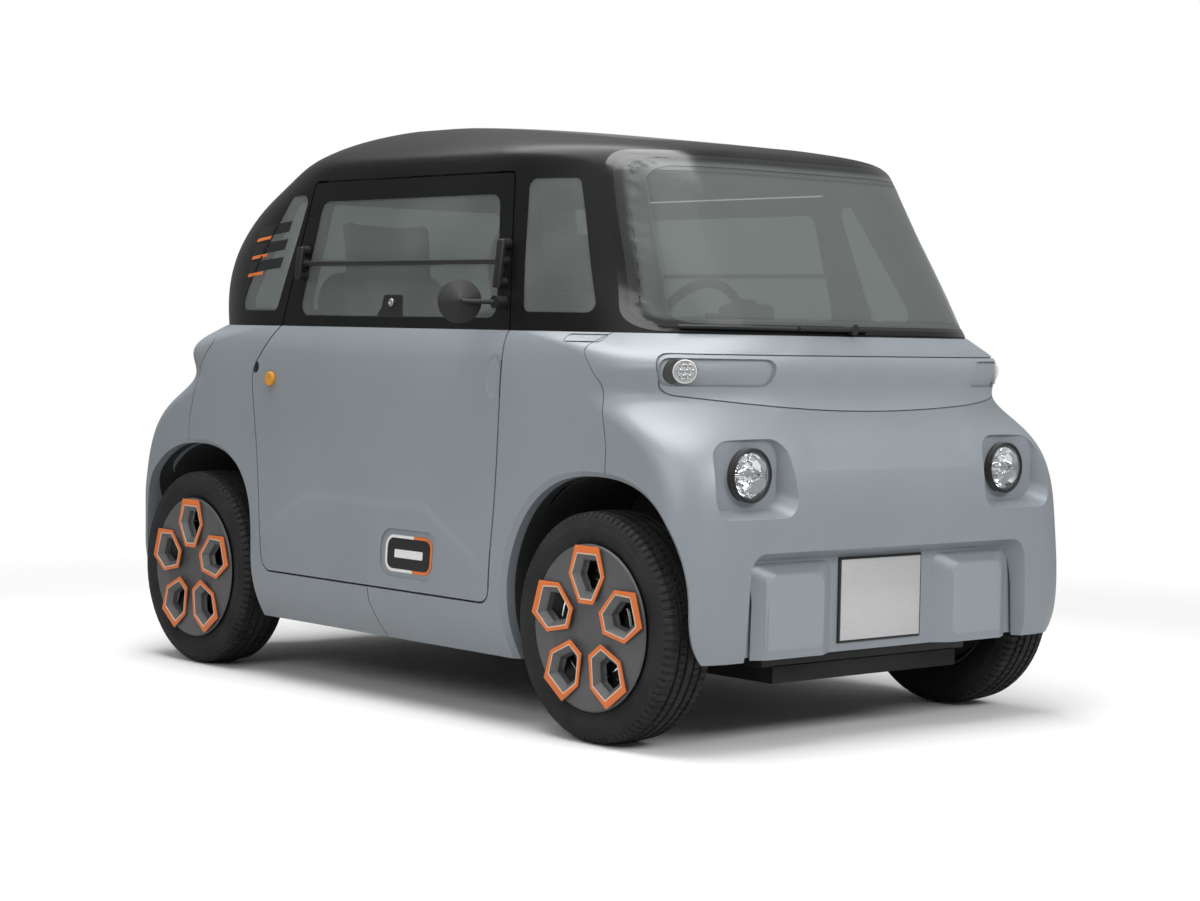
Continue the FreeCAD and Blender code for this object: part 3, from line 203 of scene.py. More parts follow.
looks = {
    "bodyPaint": {"color": (0.250, 0.277, 0.301), "roughness": 0.42, "vary": 0.03, "cloudScale": 2.5,
                  "grainScale": 900, "grainDepth": 0.00002, "grainStrength": 0.35, "fleck": 0.08,
                  "fixed": {"Metallic": 0.08, "Coat_Weight": 0.1, "Coat_Roughness": 0.3}},
    "bandPlastic": {"color": (0.275, 0.302, 0.325), "roughness": 0.55, "vary": 0.04, "grainScale": 1400,
                    "grainDepth": 0.00008, "fleck": 0.12},
    "blackShell": {"color": (0.0075, 0.0078, 0.008), "roughness": 0.34, "vary": 0.15, "grainScale": 1100,
                   "grainDepth": 0.00002, "dust": 0.03, "fixed": {"Specular_IOR_Level": 0.16}},
    "blackPlastic": {"color": (0.012, 0.012, 0.013), "roughness": 0.5, "vary": 0.2, "grainScale": 1500,
                     "grainDepth": 0.0001, "dust": 0.03, "fixed": {"Specular_IOR_Level": 0.4}},
    "cabinPlastic": {"color": (0.03, 0.031, 0.033), "roughness": 0.62, "vary": 0.12, "grainScale": 700,
                     "grainDepth": 0.00025, "grainStrength": 0.8, "dust": 0.15},
    "coverPlastic": {"color": (0.085, 0.086, 0.089), "roughness": 0.42, "vary": 0.08, "grainScale": 1300,
                     "grainDepth": 0.00005, "dustTop": 0.3, "dust": 0.05},
    "orangeTrim": {"color": (0.72, 0.17, 0.03), "roughness": 0.4, "vary": 0.06, "grainScale": 1300,
                   "fleckTone": 1.2, "dust": 0.03},
    "copperLine": {"color": (0.83, 0.58, 0.43), "roughness": 0.3, "vary": 0.06, "grainScale": 900,
                   "fixed": {"Metallic": 0.5}, "dust": 0},
    # near black: partly the frame's dark paint and partly painted shade, so the beam seen under the fascia
    # reads as shadow
    "frameSteel": {"color": (0.008, 0.008, 0.009), "roughness": 0.6, "vary": 0.25, "grainScale": 260,
                   "grainDepth": 0.0003, "dust": 0.06, "dustTop": 0.6, "fixed": {"Specular_IOR_Level": 0.3}},
    "bareSteel": {"color": (0.33, 0.33, 0.34), "roughness": 0.34, "vary": 0.12, "grainScale": 500,
                  "fixed": {"Metallic": 0.9}, "dust": 0.2},
    "chrome": {"color": (0.86, 0.87, 0.88), "roughness": 0.09, "vary": 0.03, "grainScale": 300,
               "fixed": {"Metallic": 1.0}, "fleck": 0.02, "fleckTone": 1.0, "glossVary": 0.04, "dust": 0},
    "funnelGrey": {"color": (0.115, 0.117, 0.12), "roughness": 0.45, "vary": 0.08, "grainScale": 1300,
                   "dust": 0.03},
    "rimPaint": {"color": (0.028, 0.028, 0.03), "roughness": 0.45, "vary": 0.1, "grainScale": 700,
                 "dust": 0.1},
    "whiteTrim": {"color": (0.78, 0.78, 0.77), "roughness": 0.42, "vary": 0.03, "grainScale": 1200,
                  "fleckTone": 0.9, "dust": 0.02},
    "buttonYellow": {"color": (0.62, 0.27, 0.022), "roughness": 0.42, "vary": 0.08, "grainScale": 900,
                     "fleckTone": 1.2, "dust": 0.02},
    "redLens": {"color": (0.36, 0.012, 0.012), "roughness": 0.16, "vary": 0.12, "grainScale": 300,
                "fleckTone": 1.4, "fixed": {"Coat_Weight": 1.0, "Coat_Roughness": 0.04}},
    "screenBlack": {"color": (0.006, 0.007, 0.009), "roughness": 0.12, "vary": 0.2, "grainScale": 700,
                    "grainDepth": 0.00001, "fixed": {"Coat_Weight": 0.6, "Coat_Roughness": 0.05}},
    "floorMat": {"color": (0.02, 0.02, 0.021), "roughness": 0.85, "vary": 0.2, "grainScale": 420,
                 "grainDepth": 0.0012, "grainStrength": 1.0, "dust": 0.4, "dustTop": 0.5},
}
looks["fasciaPaint"] = dict(looks["bodyPaint"], form=noseCrease)
looks["panelPaint"] = dict(looks["bodyPaint"], color=(0.285, 0.315, 0.343), roughness=0.5)
looks["doorPaint"] = dict(looks["bodyPaint"], form=doorPressing, belt=0.9685, above={
    "color": looks["blackShell"]["color"], "roughness": looks["blackShell"]["roughness"],
    "fixed": {"Specular IOR Level": looks["blackShell"]["fixed"]["Specular_IOR_Level"]}})
finish = {name: madeFinish(name, look) for name, look in looks.items()}
wheelSize = {"track": 0.604, "axleY": 0.865, "axleZ": 0.275}


def rubberFinish():
    # tyre: bloom on the sidewall, fine moulding rings, dusty tread
    look = {"color": (0.0135, 0.0137, 0.0142), "roughness": 0.72, "ringPitch": 0.0045, "side": (0.069, 0.074),
            "ringFoot": (0.236, 0.24), "ringTop": (0.254, 0.25), "dust": 0.25,
            "dustTone": (0.06, 0.058, 0.055), "ringShare": 0.35, "grainShare": 0.25}
    made = Finish("tyreRubber", look["color"], look["roughness"], Specular_IOR_Level=0.35)
    x, y, z = made.axes()
    y, z = abs(y) - wheelSize["axleY"], z - wheelSize["axleZ"]
    reach = made.add("Math", {"operation": "SQRT"}, {0: y * y + z * z})
    side = abs(abs(x) - wheelSize["track"]).ramp(*look["side"])
    bloom = made.noise(14, 4)
    dust = made.noise(60, 3).ramp(0.4, 0.8)
    tone = made.mix(bloom.ramp(*cloudFade), shade(look["color"], 0.7), shade(look["color"], 1.5))
    made.put("Base Color", made.mix((1 - side) * dust * look["dust"], tone, look["dustTone"]))
    made.put("Roughness", 0.62 + bloom * 0.2)
    ring = made.add("Math", {"operation": "SINE"}, {0: reach * (2 * math.pi / look["ringPitch"])})
    band = reach.ramp(*look["ringFoot"]) * reach.ramp(*look["ringTop"])
    rings = ring * side * band * look["ringShare"]
    made.bump(rings + made.noise(900, 2) * look["grainShare"], 0.0006, 0.8)
    return made


def clothFinish():
    # seat cloth: two crossed thread waves with a mottled tone
    look = {"color": (0.034, 0.035, 0.038), "roughness": 0.9, "thread": 950.0}
    made = Finish("seatCloth", look["color"], look["roughness"], Sheen_Weight=0.35, Sheen_Roughness=0.5,
                  Specular_IOR_Level=0.2)
    x, y, z = made.axes()
    warp = made.add("Math", {"operation": "SINE"}, {0: x * look["thread"] * 2})
    weft = made.add("Math", {"operation": "SINE"}, {0: (y + z) * look["thread"] * 2})
    weave = warp * weft
    blotch = made.noise(30, 3)
    tone = made.mix(weave.ramp(-0.8, 0.8), shade(look["color"], 0.6), shade(look["color"], 1.5))
    made.put("Base Color", made.mix(blotch.ramp(*cloudFade) * 0.4, tone, shade(look["color"], 1.8)))
    made.put("Roughness", 0.84 + blotch * 0.12)
    made.bump(weave * 0.5 + made.noise(1200, 2) * 0.3, 0.0004, 0.7)
    return made


def paneFinish(name, look, edge=None):
    # tinted glass with a lit grey share, which on the clear panes is a painted reflection veil: see-through,
    # mirror-like at a glance, solid where an edge mask says so
    made = Finish(name, look["color"], look["soft"], Specular_IOR_Level=0.6)
    through = made.add("BsdfTransparent", links={"Color": (*look["through"], 1)})
    within = made.add("NewGeometry", out="Backfacing")  # the pane's far face mirrors nothing
    glance = made.add("Fresnel", links={"IOR": 1.5}) * (1 - within)
    smear = made.noise(5, 4).ramp(0.35, 0.75)
    share = look["tintAndVeil"] + glance * (1 - look["tintAndVeil"]) + smear * 0.02
    made.put("Base Color", made.mix(smear, look["color"], shade(look["color"], 1.25)))
    if edge:
        mask = edge(made)
        share = share.most(mask)
        made.put("Base Color", made.mix(mask, look["color"], shade(look["color"], look["tintAndVeil"])))
    made.overlay(share.least(1.0), through)
    made.bump(made.noise(3, 1), 0.0004, 0.15)
    return made


screenSize = {"foot": 0.973, "top": 1.413, "halfFoot": 0.579, "halfTop": 0.503, "corner": 0.062,
              "inset": 0.055, "footInset": 0.020, "topInset": 0.040, "ahead": -1.3, "bridge": 0.010,
              "soft": (0.075, 0.059), "print": (0.036, 0.022), "seal": (0.013, 0.011),
              "stand": 0.0014, "thick": 0.001, "slice": 0.008}


def screenReach(made, drop=0.0, rise=0.0):
    # distance in from the edge of the windscreen's rounded outline, its foot dropped and its top raised
    size = screenSize
    x, y, z = made.axes()
    lean = (size["halfFoot"] - size["halfTop"]) / (size["top"] - size["foot"])
    sideways = size["halfFoot"] - (z - size["foot"]) * lean - abs(x)
    upright = (z - (size["foot"] - drop)).least(size["top"] + rise - z)
    u, v = (size["corner"] - upright).most(0), (size["corner"] - sideways).most(0)
    within = (upright.least(sideways) - size["corner"]).most(0)
    return size["corner"] - made.add("Math", {"operation": "SQRT"}, {0: u * u + v * v}) + within


def screenEdge(made):
    # the pane turns solid towards the surround, so that it fades in softly
    size = screenSize
    reach = screenReach(made, size["inset"] - size["footInset"], size["inset"] - size["topInset"])
    return reach.ramp(*size["soft"])


# the clear panes' grey share is a painted reflection, a lit grey veil over the glass; the roof glass's dark
# share is its own tint
paneLook = {"color": (0.23, 0.25, 0.245), "through": (0.64, 0.675, 0.665), "tintAndVeil": 0.32, "soft": 0.16}
darkLook = {"color": (0.006, 0.007, 0.007), "through": (0.7, 0.73, 0.73), "tintAndVeil": 0.6, "soft": 0.06}
lensLook = {"color": (0.5, 0.51, 0.52), "through": (0.98, 0.985, 0.99), "tintAndVeil": 0.05, "soft": 0.03}


def surroundFinish():
    # the windscreen's printed edge: black seal, dark print, then the pane's grey, the same painted reflection
    # veil, over the pillar
    size = screenSize
    grey = shade(paneLook["color"], paneLook["tintAndVeil"])
    made = Finish("screenSurround", grey, 0.12, Specular_IOR_Level=0.6)
    reach = screenReach(made)
    smear = made.noise(5, 4).ramp(0.35, 0.75)
    tone = made.mix(smear, grey, shade(grey, 1.2))
    tone = made.mix(reach.ramp(*size["print"]), tone, (0.022, 0.023, 0.023))
    made.put("Base Color", made.mix(reach.ramp(*size["seal"]), tone, (0.005, 0.005, 0.005)))
    made.put("Roughness", 0.16 + smear * 0.03)
    made.bump(made.noise(3, 1), 0.0002, 0.1)
    return made


def plateFinish():
    # blank plate in brushed metal paint: fine streaks across, and a painted highlight that makes it slightly
    # brighter in the middle
    made = Finish("blankPlate", (0.52, 0.52, 0.53), 0.36, Metallic=0.35)
    across = made.add("Mapping", links={"Vector": made.place(), "Scale": (8.0, 8.0, 900.0)})
    streak = made.noise(3, 4, across)
    x, y, z = made.axes()
    # painted highlight: a brighter band across the plate's middle
    middle = 1 - abs(z - 0.34) * 5
    tone = made.mix(streak.ramp(*cloudFade), (0.47, 0.47, 0.48), (0.6, 0.6, 0.605))
    made.put("Base Color", made.mix(middle.most(0) * 0.35, tone, (0.72, 0.72, 0.72)))
    made.put("Roughness", 0.32 + streak * 0.12)
    made.bump(streak, 0.00004, 0.6)
    return made


finish["tyreRubber"] = rubberFinish()
finish["seatCloth"] = clothFinish()
finish["sidePane"] = paneFinish("sidePane", paneLook)
finish["screenPane"] = paneFinish("screenPane", paneLook, screenEdge)
finish["roofPane"] = paneFinish("roofPane", darkLook)
finish["clearLens"] = paneFinish("clearLens", lensLook)
finish["screenSurround"] = surroundFinish()
finish["blankPlate"] = plateFinish()
print("finishes made:", len(finish))

corners = ("front_left", "front_right", "rear_left", "rear_right")
nodeFinish = {
    "fasciaPaint": ["front_fascia", "rear_fascia"],
    "bodyPaint": ["quarter_" + corner for corner in corners],
    "doorPaint": ["door_panel_left", "door_panel_right"],
    "bandPlastic": ["front_band", "rear_band"],
    "blackShell": ["roof_shell"],
    "blackPlastic": ["wiper", "mirror_rail_left", "mirror_rail_right", "door_hinges"],
    "cabinPlastic": ["floor_tub", "dashboard", "dash_pods", "steering_column", "steering_wheel", "seat_left",
                     "seat_right"],
    "screenPane": ["windscreen"],
    "sidePane": ["door_glass_left", "door_glass_right", "quarter_glass", "rear_window"],
    "roofPane": ["roof_glass"],
    "clearLens": ["headlamps", "signal_lamps"],
    "redLens": ["tail_lamps"],
    "frameSteel": ["chassis_frame", "battery_pack", "drive_unit", "front_suspension", "rear_suspension",
                   "struts", "rack_housing", "knuckle_left", "knuckle_right"],
    "bareSteel": ["rack_rod"],
    "coverPlastic": ["cover_" + corner for corner in corners],
    "tyreRubber": ["tyre_" + corner for corner in corners],
    "seatCloth": ["seat_pads_left", "seat_pads_right"],
    "rimPaint": ["rim_" + corner for corner in corners],
}
for name, members in nodeFinish.items():
    for member in members:
        nodes[member].data.materials.clear()
        nodes[member].data.materials.append(finish[name].material)


# mesh helpers

def addPiece(name, bm, look, body, sharp=35, place=Matrix(), tidy=True):
    # a finished mesh with its object at the origin, riding on a body of the frame
    bmesh.ops.transform(bm, matrix=place, verts=bm.verts)
    if tidy:
        bmesh.ops.remove_doubles(bm, verts=bm.verts, dist=0.00001)
        bmesh.ops.recalc_face_normals(bm, faces=bm.faces)
    mesh = bpy.data.meshes.new(name)
    bm.to_mesh(mesh)
    bm.free()
    mesh.materials.append(finish[look].material)
    for face in mesh.polygons:
        face.use_smooth = True
    mesh.set_sharp_from_angle(angle=math.radians(sharp))
    piece = bpy.data.objects.new(name, mesh)
    bpy.context.scene.collection.objects.link(piece)
    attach(piece, body)
    return piece


def spun(bm, points, steps, place=Matrix()):
    # a round form about the X axis: points are (along the axis, out from it)
    verts = [bm.verts.new((a, 0, r)) for a, r in points]
    edges = [bm.edges.new(pair) for pair in zip(verts, verts[1:])]
    bmesh.ops.spin(bm, geom=verts + edges, cent=(0, 0, 0), axis=(1, 0, 0), angle=2 * math.pi, steps=steps,
                   use_merge=True)
    bmesh.ops.remove_doubles(bm, verts=bm.verts, dist=0.00001)
    bmesh.ops.transform(bm, matrix=place, verts=bm.verts)


def outline(bm, points, place):
    # one flat face; place turns a point's two numbers into its place in the car
    bm.faces.new([bm.verts.new(place(a, b)) for a, b in points])


def roundedBox(bm, low, high, radius, segments=3):
    low, high = Vector(low), Vector(high)
    made = bmesh.ops.create_cube(bm, size=1)
    bmesh.ops.scale(bm, vec=high - low, verts=made["verts"])
    bmesh.ops.translate(bm, vec=(low + high) / 2, verts=made["verts"])
    edges = {e for v in made["verts"] for e in v.link_edges}
    bmesh.ops.bevel(bm, geom=list(edges), offset=radius, segments=segments, affect="EDGES", profile=0.5,
                    material=-1)


def roundedFace(bm, width, tall, radius, place, segments=5):
    # a rounded rectangle as one face, centred on place's origin in its YZ plane
    made = bmesh.ops.create_grid(bm, x_segments=1, y_segments=1, size=0.5)
    bmesh.ops.scale(bm, vec=(width, tall, 1), verts=made["verts"])
    bmesh.ops.bevel(bm, geom=made["verts"], offset=radius, segments=segments, affect="VERTICES", profile=0.5,
                    material=-1)
    bmesh.ops.transform(bm, matrix=place @ Matrix.Rotation(math.radians(90), 4, "Z")
                        @ Matrix.Rotation(math.radians(90), 4, "X"), verts=bm.verts)


def joined(bm, make):
    # makes a small form apart and adds it to a piece
    one = bmesh.new()
    make(one)
    copy = bpy.data.meshes.new("part")
    one.to_mesh(copy)
    one.free()
    bm.from_mesh(copy)
    bpy.data.meshes.remove(copy)


def treeOf(*names):
    # search tree over the solids that a thin piece lies on
    bm = bmesh.new()
    for name in names:
        bm.from_mesh(nodes[name].data)
    tree = BVHTree.FromBMesh(bm)
    bm.free()
    return tree


def skinHit(tree, start, aim, bridge):
    # the skin in front of a point; beside a seam it is taken from both sides, so that no skin dips in
    hits = [tree.ray_cast(start, aim)[0]]
    for axis in (acrossX, alongY, upZ):
        if bridge and abs(axis.dot(aim)) < 0.1:
            pair = [tree.ray_cast(start + axis * shift, aim)[0] for shift in (bridge, -bridge)]
            if all(pair):
                hits.append((pair[0] + pair[1]) / 2)
    hits = [hit for hit in hits if hit]
    return min(hits, key=lambda hit: hit.dot(aim)) if hits else None


def laidOn(bm, tree, aim, stand, thick, step, bridge=0):
    # slices a flat face finely, slides it along aim onto the skin and gives it its thickness
    for axis in (acrossX, alongY, upZ):
        if abs(axis.dot(aim)) > 0.9:
            continue
        places = [v.co.dot(axis) for v in bm.verts]
        count = int((max(places) - min(places)) / step)
        for i in range(1, count + 1):
            bmesh.ops.bisect_plane(bm, geom=bm.verts[:] + bm.edges[:] + bm.faces[:], dist=0.00001,
                                   plane_co=axis * (min(places) + i * step), plane_no=axis)
    for v in bm.verts:
        hit = skinHit(tree, v.co - aim, aim, bridge)
        if hit:
            v.co = hit - aim * stand
    bmesh.ops.recalc_face_normals(bm, faces=bm.faces)
    if sum((f.normal.dot(aim) * f.calc_area() for f in bm.faces)) > 0:
        bmesh.ops.reverse_faces(bm, faces=bm.faces)
    bmesh.ops.solidify(bm, geom=bm.faces[:], thickness=thick)


def bothSides(make):
    # the same piece on the right, and turned half round on the left
    for side, turn in (("right", Matrix()), ("left", halfTurn)):
        make(side, turn)


# tyres, orange port frames and rim edges

wheels = (("front_right", -1, -1), ("rear_right", -1, 1), ("front_left", 1, -1), ("rear_left", 1, 1))
tyreSize = {"steps": 180, "tread": 0.272, "crown": 0.003, "treadHalf": 0.06,
            "grooves": (-0.037, -0.0125, 0.0125, 0.037), "grooveHalf": 0.0042, "grooveDeep": 0.0065,
            "grooveShape": ((-1, 0), (-0.75, 1), (0.75, 1), (1, 0)), "sipeInset": 0.0033, "sipeDeep": 0.003,
            "shoulderFoot": 0.2575, "shoulderIn": 0.0595, "ribFoot": 0.2715, "ribIn": 0.041,
            "innerFoot": 0.2725, "innerAt": 0.0248, "innerHalf": 0.004,
            "flank": ((0.054, 0.1781), (0.0615, 0.1885), (0.0685, 0.202), (0.0738, 0.216), (0.0768, 0.229),
                      (0.0775, 0.235), (0.0768, 0.2365), (0.0766, 0.2400), (0.0757, 0.2420), (0.0750, 0.2505),
                      (0.0726, 0.2575), (0.0700, 0.2622), (0.0658, 0.2676), (0.0600, 0.2718))}
portSize = {"count": 5, "waist": 0.125, "face": 0.0871, "tall": 0.0014, "sunk": 0.002, "soft": 0.0005,
            "near": 0.000001,
            "outer": ((-0.0415, 0.1935), (0.0415, 0.1935), (0.0633, 0.125), (0.0255, 0.0575),
                      (-0.0255, 0.0575), (-0.0633, 0.125)),
            "inner": ((-0.0355, 0.177), (0.0355, 0.177), (0.0545, 0.1255), (0.0213, 0.067),
                      (-0.0213, 0.067), (-0.0545, 0.1255)),
            "line": ((-0.0330, 0.1735), (0.0330, 0.1735), (0.0512, 0.1255), (0.0195, 0.0700),
                     (-0.0195, 0.0700), (-0.0512, 0.1255))}
funnelSize = {"share": 0.72, "lip": 0.0006, "slope": 0.013, "deep": 0.030}
rimEdge = {"rings": ((0.112, 0.0035), (0.134, 0.0022)), "out": 0.044, "points": 8, "steps": 96}


def wheelPlace(side, end):
    centre = (side * wheelSize["track"], end * wheelSize["axleY"], wheelSize["axleZ"])
    return Matrix.Translation(centre) @ (halfTurn if side > 0 else Matrix())


def makeTyre(name, body, place):
    # one turned profile with grooves, then every other strip of shoulder and ribs cut in as a sipe
    size = tyreSize
    tread = []
    for middle in size["grooves"]:
        for shift, deep in size["grooveShape"]:
            a = middle + shift * size["grooveHalf"]
            crown = size["crown"] * (1 - (a / size["treadHalf"]) ** 2)
            tread.append((a, size["tread"] + crown - deep * size["grooveDeep"]))
    points = [(-a, r) for a, r in size["flank"]] + tread + [(a, r) for a, r in reversed(size["flank"])]
    bm = bmesh.new()
    spun(bm, points + points[:1], size["steps"])
    bmesh.ops.recalc_face_normals(bm, faces=bm.faces)
    cuts = []
    for face in bm.faces:
        middle = face.calc_center_median()
        out, reach = abs(middle.x), math.hypot(middle.y, middle.z)
        turn = int(round((math.atan2(middle.z, middle.y) / (2 * math.pi)) * size["steps"] - 0.5))
        shoulder = reach > size["shoulderFoot"] and out > size["shoulderIn"]
        rib = reach > size["ribFoot"] and out > size["ribIn"] and not shoulder
        inner = reach > size["innerFoot"] and abs(out - size["innerAt"]) < size["innerHalf"]
        if (shoulder or rib) and turn % 2 == 0 or inner and turn % 2 == 1:
            cuts.append(face)
    bmesh.ops.inset_individual(bm, faces=cuts, thickness=size["sipeInset"], depth=-size["sipeDeep"],
                               use_even_offset=True)
    piece = addPiece("tread_" + name, bm, "tyreRubber", body, 28, place, tidy=False)
    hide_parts("tyre_" + name)


def lofted(bm, rings):
    # quads from ring to ring, the last one joined to the first
    made = [[bm.verts.new(point) for point in ring] for ring in rings]
    for one, two in zip(made, made[1:] + made[:1]):
        for i in range(len(one)):
            j = (i + 1) % len(one)
            bm.faces.new((one[i], one[j], two[j], two[i]))


def portRing(points, out, turn, share=1.0):
    # one port outline, narrowed about its middle, at a reach out from the wheel's centre plane
    ring = []
    for a, r in points:
        a, r = a * share, portSize["waist"] + (r - portSize["waist"]) * share
        ring.append((-out, a * math.cos(turn) + r * math.sin(turn), r * math.cos(turn) - a * math.sin(turn)))
    return ring


def makePortFrames(name, body, place):
    # a raised orange frame and the thin copper line inside it, at each of the five ports
    size = portSize
    foot, top = size["face"] - size["sunk"], size["face"] + size["tall"]
    for piece, look, outer, inner in (("portFrames_", "orangeTrim", size["outer"], size["inner"]),
                                      ("portLines_", "copperLine", size["inner"], size["line"])):
        bm = bmesh.new()
        for i in range(size["count"]):
            turn = 2 * math.pi * i / size["count"]
            lofted(bm, [portRing(outer, foot, turn), portRing(outer, top, turn), portRing(inner, top, turn),
                        portRing(inner, foot, turn)])
        bmesh.ops.recalc_face_normals(bm, faces=bm.faces)
        edges = [e for e in bm.edges if all(abs(v.co.x + top) < size["near"] for v in e.verts)
                 and e.calc_face_angle() > 1]
        bmesh.ops.bevel(bm, geom=edges, offset=size["soft"], segments=2, affect="EDGES", profile=0.5,
                        material=-1)
        addPiece(piece + name, bm, look, body, 30, place)


def makeFunnels(name, body, place):
    # grey facets that narrow into each port, and the bright edges of the rim behind them
    size = funnelSize
    face, line = portSize["face"], portSize["line"]
    bm = bmesh.new()
    for i in range(portSize["count"]):
        turn = 2 * math.pi * i / portSize["count"]
        lofted(bm, [portRing(line, face + size["lip"], turn),
                    portRing(line, face - size["slope"], turn, size["share"]),
                    portRing(line, face - size["deep"], turn, size["share"]),
                    portRing(line, face - size["deep"], turn)])
    addPiece("portFunnels_" + name, bm, "funnelGrey", body, 20, place)
    bm = bmesh.new()
    for radius, thick in rimEdge["rings"]:
        ring = []
        for i in range(rimEdge["points"] + 1):
            turn = 2 * math.pi * i / rimEdge["points"]
            ring.append((-rimEdge["out"] + thick * math.cos(turn), radius + thick * math.sin(turn)))
        joined(bm, lambda one: spun(one, ring, rimEdge["steps"]))
    addPiece("rimEdge_" + name, bm, "chrome", body, 40, place)


for name, side, end in wheels:
    body = "wheel_" + name
    place = wheelPlace(side, end)
    makeTyre(name, body, place)
    makePortFrames(name, body, place)
    makeFunnels(name, body, place)
print("wheels dressed")


# lamps

lampSize = {"x": 0.451, "y": -1.163, "z": 0.644, "flutes": 18, "wave": 0.003, "waves": 6, "waveReach": 0.05,
            "bowl": ((0.038, 0.0001), (0.037, 0.014), (0.028, 0.032), (0.014, 0.046), (0.0035, 0.0525)),
            "shield": ((0.034, 0.0001), (0.034, 0.013), (0.010, 0.0155), (0.007, 0.012), (0.006, 0.0001)),
            "bridge": ((0.012, -0.050, -0.0035), (0.018, 0.050, 0.0035)), "bridgeSoft": 0.001,
            "bezel": ((0.004, 0.0570), (-0.0045, 0.0578), (-0.0052, 0.0592), (-0.003, 0.0638),
                      (0.004, 0.0638), (0.004, 0.0570))}
signalSize = {"x": 0.556, "z": 0.880, "ahead": -2, "cells": 6, "cellReach": 0.01443, "cellRadius": 0.0066,
              "bezel": ((0.016, 0.0001), (0.016, 0.0255), (0.005, 0.0285), (0.0035, 0.0265),
                        (0.0125, 0.024), (0.0125, 0.0001))}
facingFront = Matrix.Rotation(math.radians(90), 4, "Z")  # the X axis of a spun form turns to +Y


def makeHeadlamp(side):
    # fluted bowl, bulb shield and black bezel of one round headlamp
    size = lampSize
    label = "left" if side > 0 else "right"
    place = Matrix.Translation((side * size["x"], size["y"], size["z"])) @ facingFront
    bm = bmesh.new()
    spun(bm, size["bowl"], size["flutes"])
    for v in bm.verts:
        turn = math.atan2(v.co.z, v.co.y)
        reach = math.hypot(v.co.y, v.co.z) / size["waveReach"]
        v.co.x += size["wave"] * math.cos(turn * size["waves"]) * reach
    addPiece("lampBowl_" + label, bm, "chrome", "body", 12, place)
    bm = bmesh.new()
    spun(bm, size["shield"], 32)
    roundedBox(bm, *size["bridge"], size["bridgeSoft"], 2)
    addPiece("lampShield_" + label, bm, "chrome", "body", 30, place)
    bm = bmesh.new()
    spun(bm, size["bezel"], 64)
    addPiece("lampBezel_" + label, bm, "blackPlastic", "body", 30, place)


def makeSignal(side, turn, label):
    # grey bezel and seven little cups behind one small clear lamp
    size = signalSize
    tree = treeOf("signal_lamps")
    centre, normal = tree.ray_cast(Vector((side * size["x"], size["ahead"], size["z"])), alongY)[:2]
    place = turn @ Matrix.Translation(centre) @ (-normal).to_track_quat("X", "Z").to_matrix().to_4x4()
    bm = bmesh.new()
    spun(bm, size["bezel"], 48)
    addPiece("signalBezel_" + label, bm, "whiteTrim", "body", 30, place)
    r = size["cellRadius"]
    cup = ((0.0122, 0.0001), (0.0118, 0.0022), (0.0085, r * 0.8), (0.004, r), (0.0045, r + 0.0007),
           (0.0122, r * 0.8))
    bm = bmesh.new()
    for i in range(size["cells"] + 1):
        angle = 2 * math.pi * i / size["cells"]
        reach = size["cellReach"] if i < size["cells"] else 0
        at = place @ Matrix.Translation((0, reach * math.cos(angle), reach * math.sin(angle)))
        joined(bm, lambda one: spun(one, cup, 16, at))
    addPiece("signalCups_" + label, bm, "chrome", "body", 30)


for side in (-1, 1):
    makeHeadlamp(side)
    for end, turn in (("front", Matrix()), ("rear", halfTurn)):
        makeSignal(side, turn, end + ("Left" if side * (1 if end == "front" else -1) > 0 else "Right"))
print("lamps filled")


# plate, badge, stripes and small fittings on the skin

plateSize = {"x": -0.009, "y": -1.1632, "z": 0.339, "width": 0.280, "tall": 0.194, "rim": 0.006,
             "rimAhead": 0.0045, "front": 0.0068, "back": 0.004}


def makePlate():
    # a bare plate in a thin dark frame at the front
    size = plateSize
    centre = Vector((size["x"], size["y"], size["z"]))
    half = Vector((size["width"] / 2, 0, size["tall"] / 2))
    rim = Vector((size["rim"], 0, size["rim"]))
    bm = bmesh.new()
    roundedBox(bm, centre - half - rim - alongY * size["rimAhead"], centre + half + rim, 0.0015)
    addPiece("plateFrame", bm, "blackPlastic", "body", 30)
    bm = bmesh.new()
    roundedBox(bm, centre - half - alongY * size["front"], centre + half - alongY * size["back"], 0.0006, 2)
    addPiece("blankPlate", bm, "blankPlate", "body", 30)


stripeSize = {"count": 3, "pitch": 0.0493, "lean": 0.012, "thick": 0.0008, "stand": 0.0004, "slice": 0.012,
              "outside": -0.9,
              "black": ((0.662, 1.242), (0.494, 1.256), (0.505, 1.227), (0.672, 1.212)),
              "orange": ((0.672, 1.210), (0.588, 1.2175), (0.592, 1.2085), (0.676, 1.2005))}


def makeStripes(side):
    # three black bars over shorter orange ones, across the right rear corner of the cabin
    size = stripeSize
    tree = treeOf("roof_shell", "quarter_glass")
    for look, trim in (("black", "blackPlastic"), ("orange", "orangeTrim")):
        bm = bmesh.new()
        for i in range(size["count"]):
            points = [(y + size["lean"] * i, z - size["pitch"] * i) for y, z in size[look]]

            def bar(one):
                outline(one, points, lambda a, b: (size["outside"], a, b))
                laidOn(one, tree, acrossX, size["stand"], size["thick"], size["slice"])

            joined(bm, bar)
        addPiece(look + "Stripes_" + side, bm, trim, "body", 40)


badgeSize = {"y": -0.1695, "z": 0.3925, "outside": -1.2, "width": 0.196, "tall": 0.094, "radius": 0.030,
             "border": 0.0075, "split": -0.018, "bar": (0.118, 0.021, 0.003), "low": 0.0002, "high": 0.0014,
             "slice": 0.015}


